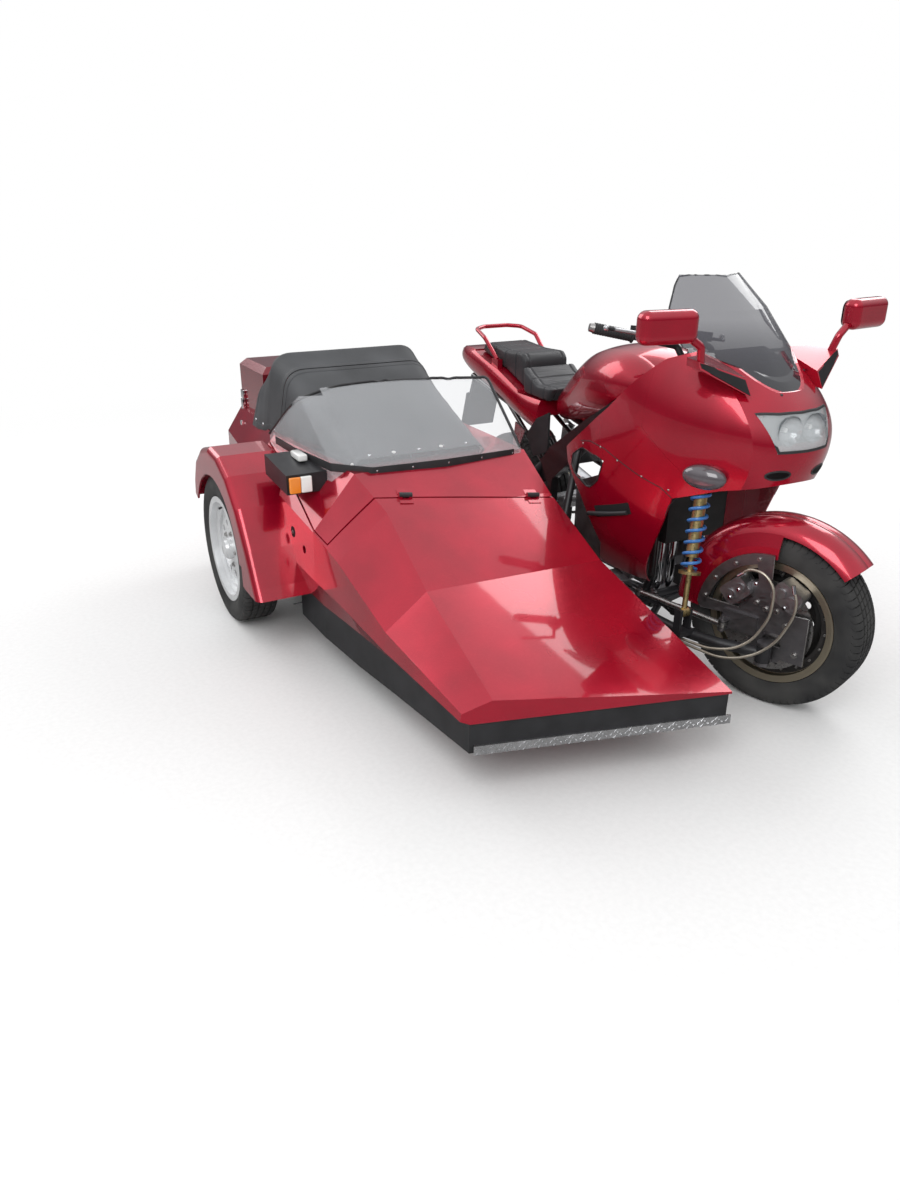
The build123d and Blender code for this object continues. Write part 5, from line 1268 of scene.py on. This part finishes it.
class OUTFIT_OT_fairing(bpy.types.Operator):
    """Make the rivets, seams, intakes and lamp fittings of the fairing"""
    bl_idname = "outfit.fairing"
    bl_label = "Fairing fittings"

    def execute(self, context):
        for side, name in ((-1, "right"), (1, "left")):
            node = "fairing_" + name
            studs(f"fairing_rivets_{name}", node, flank(SIDE_RIVETS, side), 4.2, "steel", "outfit")
            band(f"fairing_seam_{name}", node, flank(FAIRING_SEAM, side), 3.0, 0.7, "plastic", "outfit")
            band(f"vent_edge_{name}", node, flank(VENT_RING, side), 7.0, 2.0, "plastic", "outfit")
            # near-black band of painted shade for the lower vent slot
            band(f"lower_vent_shade_{name}", node, flank(LOWER_VENT_SHADE, side), 42.0, 0.8, "dark", "outfit")
            points, _ = trace(node, flank(VENT_PIPE, side), 20.0, 4.0)
            ribbon(f"vent_pipe_{name}", points, 0.008, "plastic", "outfit")
        studs("screen_bolts", "fairing_upper", NOSE_BOLTS, 5.0, "plastic", "outfit")
        self.make_intakes()
        band("headlamp_bezel", "headlamp", LAMP_CORNERS, 9.0, 1.4, "plastic", "outfit", 10.0)
        self.make_reflector()
        self.make_screen_edge()
        self.make_cap()
        return {"FINISHED"}

    def make_intakes(self):
        """Oval gauze intakes below the headlamp."""
        rims, gauze = bmesh.new(), bmesh.new()
        for place in INTAKES:
            seat = at(*place)
            normal = on_side(INTAKE_FACING, place[1])
            across = Vector((0, 0, 1)).cross(normal).normalized()
            upward = normal.cross(across)
            outside = on_side(INTAKE_PROBE, place[1])
            rings = []
            for share in (0.0, 0.35, 0.7, 1.0):
                ring = []
                for index in range(INTAKE_SIDES + 1 if share else 1):
                    angle = 2 * math.pi * index / INTAKE_SIDES
                    spot = seat + (across * math.cos(angle) * INTAKE_REACH[0]
                                   + upward * math.sin(angle) * INTAKE_REACH[1]) * share
                    ring.append(surface("fairing_upper").ray_cast(spot + outside * 0.05, -outside, 0.1))
                rings.append(ring)
            add_band(rims, [hit[0] for hit in rings[-1]], [hit[1] for hit in rings[-1]], *INTAKE_RIM)
            grid = [[gauze.verts.new(hit[0] + hit[1] * GAUZE_LIFT) for hit in ring[:INTAKE_SIDES]]
                    for ring in rings]
            for index in range(INTAKE_SIDES):
                other = (index + 1) % INTAKE_SIDES
                gauze.faces.new((grid[0][0], grid[1][index], grid[1][other]))
                for first, second in zip(grid[1:], grid[2:]):
                    gauze.faces.new((first[index], second[index], second[other], first[other]))
        bmesh.ops.solidify(gauze, geom=gauze.faces[:], thickness=GAUZE_THICK)
        finish_piece("intake_rims", rims, "plastic", "outfit")
        finish_piece("intake_gauze", gauze, "gauze", "outfit")

    def make_reflector(self):
        """Bright bowls, bulbs and dark housing behind the lens."""
        low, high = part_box("headlamp")
        middle = (low + high) / 2
        bm = bmesh.new()
        for side in (-1, 1):
            rings = []
            centre = Vector((high.x - BOWL_BACK, middle.y + side * BOWL_SPREAD, middle.z + BOWL_LIFT))
            for reach, back in BOWL:
                ring = []
                for index in range(BOWL_SIDES):
                    turn = 2 * math.pi * index / BOWL_SIDES
                    ring.append(bm.verts.new(centre + Vector((-back, math.cos(turn) * reach,
                                                              math.sin(turn) * reach * 0.95))))
                rings.append(ring)
            for first, second in zip(rings, rings[1:]):
                for index in range(BOWL_SIDES):
                    other = (index + 1) % BOWL_SIDES
                    bm.faces.new((first[index], second[index], second[other], first[other]))
            bm.faces.new(rings[-1])
        bmesh.ops.solidify(bm, geom=bm.faces[:], thickness=-0.0015)
        finish_piece("headlamp_reflectors", bm, "mirror", "outfit", 60.0)
        bm = bmesh.new()
        for side in (-1, 1):
            base = Vector((high.x - BULB_BACK, middle.y + side * BOWL_SPREAD, middle.z + BOWL_LIFT))
            add_cylinder(bm, base, (1, 0, 0), 0.008, 0.018, 20, 0.007)
        finish_piece("headlamp_bulbs", bm, "white", "outfit")
        bm = bmesh.new()
        add_box(bm, Matrix.Translation((high.x - WALL_BACK, middle.y, middle.z)), WALL_SIZE)
        finish_piece("headlamp_housing", bm, "plastic", "outfit")

    def make_screen_edge(self):
        """Dark edging round the top of the screen."""
        outline = SCREEN_EDGE + [SCREEN_TOP] + [(x, -y, z) for x, y, z in SCREEN_EDGE[::-1]]
        band("screen_edging", "bike_windscreen", outline, 6.0, 1.0, "plastic", "outfit", 9.0)

    def make_cap(self):
        """Filler cap's ring, flap and bolts on the tank."""
        centre = at(*CAP)
        bm = bmesh.new()
        for lift, radius, length, top in CAP_STEPS:
            add_cylinder(bm, centre + Vector((0, 0, lift)), (0, 0, 1), radius, length, 48, top)
        for index in range(CAP_BOLTS):
            turn = 2 * math.pi * index / CAP_BOLTS
            spot = centre + Vector((math.cos(turn) * 0.031, math.sin(turn) * 0.031, 0.003))
            add_cylinder(bm, spot, (0, 0, 1), 0.0025, 0.0015, 12)
        finish_piece("filler_cap", bm, "aluminium", "outfit")


# Left grip's inner and outer end and its lever's ends, in millimetres, with the bar straight ahead
GRIP_IN = Vector((-626, 219, 1100))
GRIP_OUT = Vector((-712, 321.5, 1112))
LEVER = [(-560, 262, 1112), (-628, 372, 1120)]
# A place on the steering head's axis, and how far that leans back
HEAD = Vector((-445, 0, 960))
HEAD_RAKE = math.radians(24.0)
GRIP_SIDES = 32
GRIP_RINGS = 60
# Grip in metres: radius, height of its ribs and of its collar, and the share of its length with the collar
GRIP_RADIUS = 0.0176
GRIP_RIB = 0.0008
GRIP_COLLAR = 0.004
COLLAR_SHARE = 0.04
# Radii of the lever at its pivot and its tip, and of its ball, in metres
LEVER_FOOT = 0.0068
LEVER_TIP = 0.0058
LEVER_BALL = 0.0095
# Middle of the left mirror's shell, and how far it is turned
MIRROR = (-200, 416, 1207)
MIRROR_TURN = math.radians(8)
# Left foot's front face, which is covered with painted shade: which way it looks, and the height in
# millimetres where the painted shade ends
PAINTED_SHADE_FACING = (0.85, 0.17, 0.49)
PAINTED_SHADE_TOP = 1125


def turned_bar(point):
    """Point on the bar, turned with the steering."""
    axis = Vector((-math.sin(HEAD_RAKE), 0, math.cos(HEAD_RAKE)))
    return HEAD + Matrix.Rotation(STEER_REST, 3, axis) @ (Vector(point) - HEAD)


class OUTFIT_OT_bars(bpy.types.Operator):
    """Make the grips, levers, mirror glass and the painted shade on the front faces of the mirrors' feet"""
    bl_idname = "outfit.bars"
    bl_label = "Bars and mirrors"

    def execute(self, context):
        for side, name in ((1, "left"), (-1, "right")):
            self.make_grip(name, side)
            self.make_mirror(name, side)
            self.make_painted_shade(name, side)
        return {"FINISHED"}

    def make_grip(self, name, side):
        """Ribbed rubber grip with a bar end, and a silver lever with a ball end."""
        start, end = (at(*turned_bar((p.x, p.y * side, p.z))) for p in (GRIP_IN, GRIP_OUT))
        along = (end - start).normalized()
        length = (end - start).length
        bm = bmesh.new()
        rings = []
        turn = facing(along).to_3x3()
        for index in range(GRIP_RINGS + 1):
            share = index / GRIP_RINGS
            reach = GRIP_RADIUS + (GRIP_RIB if index % 4 < 2 else 0.0)
            reach += GRIP_COLLAR if share < COLLAR_SHARE else 0.0
            rings.append([bm.verts.new(start + along * length * share + turn
                                       @ Vector((math.cos(a) * reach, math.sin(a) * reach, 0)))
                          for a in (2 * math.pi * k / GRIP_SIDES for k in range(GRIP_SIDES))])
        skin_rings(bm, rings)
        bm.faces.new(rings[0])
        bm.faces.new(rings[-1])
        finish_piece(f"grip_{name}", bm, "grip", "handlebar", 25.0)
        bm = bmesh.new()
        add_cylinder(bm, end, along, 0.016, 0.016, 32, 0.013)
        finish_piece(f"bar_end_{name}", bm, "steel", "handlebar")
        inner, outer = (at(*turned_bar((x, y * side, z))) for x, y, z in LEVER)
        bm = bmesh.new()
        add_cylinder(bm, inner, outer - inner, LEVER_FOOT, (outer - inner).length, 24, LEVER_TIP)
        for place, sides, radius in ((outer, (20, 12), LEVER_BALL), (inner, (16, 10), LEVER_FOOT)):
            bmesh.ops.create_uvsphere(bm, u_segments=sides[0], v_segments=sides[1], radius=radius,
                                      matrix=Matrix.Translation(place))
        finish_piece(f"lever_{name}", bm, "aluminium", "handlebar")

    def make_painted_shade(self, name, side):
        """Painted shade: a near-black sheet laid on the front face of the mirror's foot, below a height."""
        bm = welded("mirror_" + name)
        front = on_side(PAINTED_SHADE_FACING, side)
        limit = at(0, 0, PAINTED_SHADE_TOP).z
        gone = [face for face in bm.faces
                if face.normal.dot(front) <= 0.97 or face.calc_center_median().z >= limit]
        bmesh.ops.delete(bm, geom=gone, context="FACES")
        bmesh.ops.dissolve_limit(bm, angle_limit=0.05, verts=bm.verts, edges=bm.edges)
        outer = bmesh.ops.inset_region(bm, faces=bm.faces[:], thickness=0.007, use_boundary=True)["faces"]
        bmesh.ops.delete(bm, geom=outer, context="FACES")
        for vertex in bm.verts:
            vertex.co += front * 0.0007
        bmesh.ops.solidify(bm, geom=bm.faces[:], thickness=0.0006)
        # near-black sheet of painted shade over the foot's front face
        finish_piece("mirror_painted_shade_" + name, bm, "dark", "outfit")

    def make_mirror(self, name, side):
        """Glass and its dark frame on the rear of the mirror."""
        middle = Matrix.Translation(at(MIRROR[0], side * MIRROR[1], MIRROR[2]))
        middle = middle @ Matrix.Rotation(side * MIRROR_TURN, 4, "Z")
        for label, x, size, finish, slot in (
                ("glass", -31.4, (0.002, 0.150, 0.066), "mirror", "chrome"),
                ("frame", -31.0, (0.0014, 0.166, 0.080), "plastic", "black_plastic")):
            bm = bmesh.new()
            add_box(bm, middle @ Matrix.Translation((x * MM, 0, 0)), size)
            corners = [edge for edge in bm.edges if abs(edge.calc_length() - size[0]) < 1e-5]
            round_edges(bm, corners, 0.024, 6)
            finish_piece(f"mirror_{label}_{name}", bm, finish, "outfit")


# Sidecar fittings

# Foot of the sidecar's screen, from its outer side round the front, and the rivets in its front
COWL_STRIP = [(-1400, -1217, 712), (-1200, -1209, 711), (-960, -1172, 709), (-953, -1170, 709),
              (-907, -1117, 706), (-862, -1063, 704), (-857, -1055, 703), (-850, -909, 702),
              (-843, -780, 702), (-848, -637, 702), (-853, -500, 702)]
STRIP_RIVETS = [(-853, -1040, 702), (-846, -909, 702), (-839, -773, 702), (-845, -637, 702),
                (-850, -505, 702)]
# Rim of the sidecar's screen: up its outer side, over the corner, along the top and down the inner edge
SCREEN_TRIM = [(-1462, -1218, 727), (-1342, -1213, 801), (-1228, -1203, 874)]
TRIM_CORNER = [(-1206, -1178, 894), (-1206, -1130, 909), (-1214, -1080, 918)]
TRIM_TOP = [(-1230, -1010, 924), (-1241, -880, 926), (-1240, -760, 926), (-1185, -620, 926),
            (-1124, -470, 924), (-1100, -463, 910), (-1040, -465, 861), (-960, -467, 796),
            (-864, -470, 718)]
# Middles of the two hatch hinges, the deck's slope there, and the sleeves' sizes in metres
HINGES = [(-681.9, -531, 588.5), (-745.7, -994, 637)]
DECK_SLOPE = (0.894, 0.0, -0.447)
SLEEVE_RADIUS = 0.0084
SLEEVE_LENGTH = 0.0456
SLEEVE_RISE = 0.009
# Small box on the lamp's bracket, and its size in metres
LAMP_BOX = (-1122, -1222, 717)
LAMP_BOX_SIZE = (0.088, 0.034, 0.024)
# Luggage latch and its catch, seated on the outer side: how far up, width, height and depth of their parts
LATCH = (-2080, -1128, 735)
LATCH_PARTS = ((0.026, 0.040, 0.034, 0.010), (-0.020, 0.028, 0.052, 0.014))
CATCH = (-1961, -1182, 661)
CATCH_PARTS = ((0.0, 0.024, 0.020, 0.006),)
# Hole with a bolt in the tub's outer side; a near-black disc of painted shade stands for its inside
SIDE_HOLE = (-1066, -1281, 462)
# Press studs of the hood: the large ones, the small ones of the front hem, and those of the rear part's sides
LARGE_SNAPS = [(-945, -1100, 712), (-945, -938, 735), (-945, -752, 735), (-945, -586, 712)]
FRONT_SNAPS = [(-945, y, 735) for y in (-1030, -935, -840, -745, -650)]
SNAP_STATIONS = (-1530, -1640, -1740)
SNAP_SIDES = {"rear_snaps": -1185, "inner_snaps": -491}
# Diamonds of the nose's checker plate: rows, columns and size in metres
DIAMOND_ROWS = 3
DIAMOND_COLUMNS = 34
DIAMOND = (0.0024, 0.0035, 0.014)


class OUTFIT_OT_sidecar_trim(bpy.types.Operator):
    """Make the trims, rivets, hinges and latches of the sidecar"""
    bl_idname = "outfit.sidecar_trim"
    bl_label = "Sidecar trim"

    def execute(self, context):
        body = "sidecar_cowl"
        band("screen_foot_strip", "sidecar_windscreen", COWL_STRIP, 28.0, 1.6, "plastic", body,
             10.0)
        studs("screen_foot_rivets", "sidecar_windscreen", STRIP_RIVETS, 5.2, "chrome", body)
        points, _ = trace("sidecar_windscreen", SCREEN_TRIM, 22.0, -2.4)
        points += [at(*corner) for corner in TRIM_CORNER]
        points += trace("sidecar_windscreen", TRIM_TOP, 22.0, -2.4)[0]
        ribbon("screen_trim", points, 0.0052, "plastic", body)
        self.make_box(body)
        self.make_lens(body)
        self.make_latches()
        self.make_hinges(body)
        self.make_hole_shade()
        self.make_snaps(body)
        self.make_strip()
        return {"FINISHED"}

    def make_box(self, body):
        """Small white box on top of the lamp's bracket."""
        bm = bmesh.new()
        add_box(bm, Matrix.Translation(at(*LAMP_BOX)), LAMP_BOX_SIZE)
        round_edges(bm, bm.edges[:], 0.006, 3)
        finish_piece("lamp_box", bm, "white", body)

    def make_lens(self, body):
        """Amber and white parts of the lamp's lens, standing for the plain one."""
        low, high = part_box("sidecar_lens")
        for name, start, end, slot in (("amber", low.y + 0.0005, low.y + 0.040, "amber_lens"),
                                       ("white", low.y + 0.041, high.y - 0.0005, "lamp_glass")):
            bm = bmesh.new()
            middle = Vector(((low.x + high.x) / 2, (start + end) / 2, (low.z + high.z) / 2))
            size = (high.x - low.x - 0.0012, end - start, high.z - low.z - 0.001)
            add_box(bm, Matrix.Translation(middle), size)
            round_edges(bm, bm.edges[:], 0.004, 4)
            lens = finish_piece(f"lamp_lens_{name}", bm, name, body)
            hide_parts("sidecar_lens")

    def make_latches(self):
        """Over-centre latch and catch on the outer side of the luggage box."""
        for name, node, spot, body, parts in (("boot_latch", "boot_lid", LATCH, "boot_lid", LATCH_PARTS),
                                              ("boot_catch", "sidecar_tub", CATCH, "outfit", CATCH_PARTS)):
            bm = bmesh.new()
            seat, normal = seat_on(node, spot, 0.0)
            for up, wide, high, deep in parts:
                place = Matrix.Translation(seat + normal * deep / 2 + Vector((0, 0, up)))
                add_box(bm, place, (wide, deep, high))
            round_edges(bm, bm.edges[:], 0.0012, 2)
            finish_piece(name, bm, "chrome", body)

    def make_hinges(self, body):
        """Black sleeves of the hatch hinges."""
        bm = bmesh.new()
        first, second = (at(*place) for place in HINGES)
        along = (second - first).normalized()
        rise = along.cross(Vector(DECK_SLOPE)).normalized() * SLEEVE_RISE
        for middle in (first, second):
            start = middle + rise * math.copysign(1, rise.z) - along * SLEEVE_LENGTH / 2
            add_cylinder(bm, start, along, SLEEVE_RADIUS, SLEEVE_LENGTH, 32)
        finish_piece("hinge_sleeves", bm, "plastic", body)

    def make_hole_shade(self):
        """Near-black disc of painted shade for the hole in the tub's outer side, and its bolt."""
        seat, normal = seat_on("sidecar_tub", SIDE_HOLE, 0.0)
        bm = bmesh.new()
        add_cylinder(bm, seat - normal * 0.001, normal, 0.020, 0.0018, 48)
        # near-black disc: painted shade inside the hole
        finish_piece("tub_hole_shade", bm, "dark", "outfit")
        bm = bmesh.new()
        add_bolt(bm, seat + normal * 0.0006, normal, 0.005)
        finish_piece("tub_bolt", bm, "steel", "outfit")

    def make_snaps(self, body):
        """Press studs along the hood's hems."""
        studs("white_snaps", "hood_front", LARGE_SNAPS, 8.0, "white", body)
        studs("front_snaps", "hood_front", FRONT_SNAPS, 6.0, "chrome", body)
        for name, y in SNAP_SIDES.items():
            studs(name, "hood_rear", [(x, y, 720) for x in SNAP_STATIONS], 6.0, "chrome", "outfit")

    def make_strip(self):
        """Raised diamonds of the nose's checker plate."""
        low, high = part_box("nose_strip")
        bm = bmesh.new()
        for row in range(DIAMOND_ROWS):
            for column in range(DIAMOND_COLUMNS):
                y = low.y + (high.y - low.y) * (column + 0.5 + 0.5 * (row % 2)) / (DIAMOND_COLUMNS + 0.5)
                z = low.z + (high.z - low.z) * (row + 0.5) / DIAMOND_ROWS
                hit = surface("nose_strip").ray_cast(Vector((high.x + 0.1, y, z)), Vector((-1, 0, 0)), 0.6)
                if hit[0] is None:
                    continue
                tilt = Matrix.Rotation(math.radians(45 if (row + column) % 2 else -45), 4, "X")
                add_box(bm, Matrix.Translation(hit[0]) @ tilt, DIAMOND)
        finish_piece("checker_plate", bm, "aluminium", "outfit")


CLASSES = [StageSettings, OutfitSettings, OUTFIT_OT_stage, OUTFIT_OT_finishes, OUTFIT_OT_tyres,
           OUTFIT_OT_wheel_fittings, OUTFIT_OT_front_end, OUTFIT_OT_saddles, OUTFIT_OT_bench, OUTFIT_OT_hood,
           OUTFIT_OT_fairing, OUTFIT_OT_bars, OUTFIT_OT_sidecar_trim]
# The operators in the order in which they run
STEPS = ["stage", "finishes", "tyres", "wheel_fittings", "front_end", "saddles", "bench", "hood", "fairing",
         "bars", "sidecar_trim"]


class OUTFIT_PT_panel(bpy.types.Panel):
    """Lists the outfit's pieces in the sidebar"""
    bl_idname = "OUTFIT_PT_panel"
    bl_label = "Outfit"
    bl_space_type = "VIEW_3D"
    bl_region_type = "UI"
    bl_category = "Outfit"

    def draw(self, context):
        for step in STEPS:
            self.layout.operator("outfit." + step)


def register():
    for cls in [*CLASSES, OUTFIT_PT_panel]:
        bpy.utils.register_class(cls)
    bpy.types.Scene.outfit = PointerProperty(type=OutfitSettings)
    bpy.types.Scene.outfit_stage = PointerProperty(type=StageSettings)


def unregister():
    del bpy.types.Scene.outfit
    del bpy.types.Scene.outfit_stage
    for cls in reversed([*CLASSES, OUTFIT_PT_panel]):
        bpy.utils.unregister_class(cls)


def main():
    """Makes everything, in order."""
    register()
    for step in STEPS:
        getattr(bpy.ops.outfit, step)()


if __name__ == "__main__":
    main()
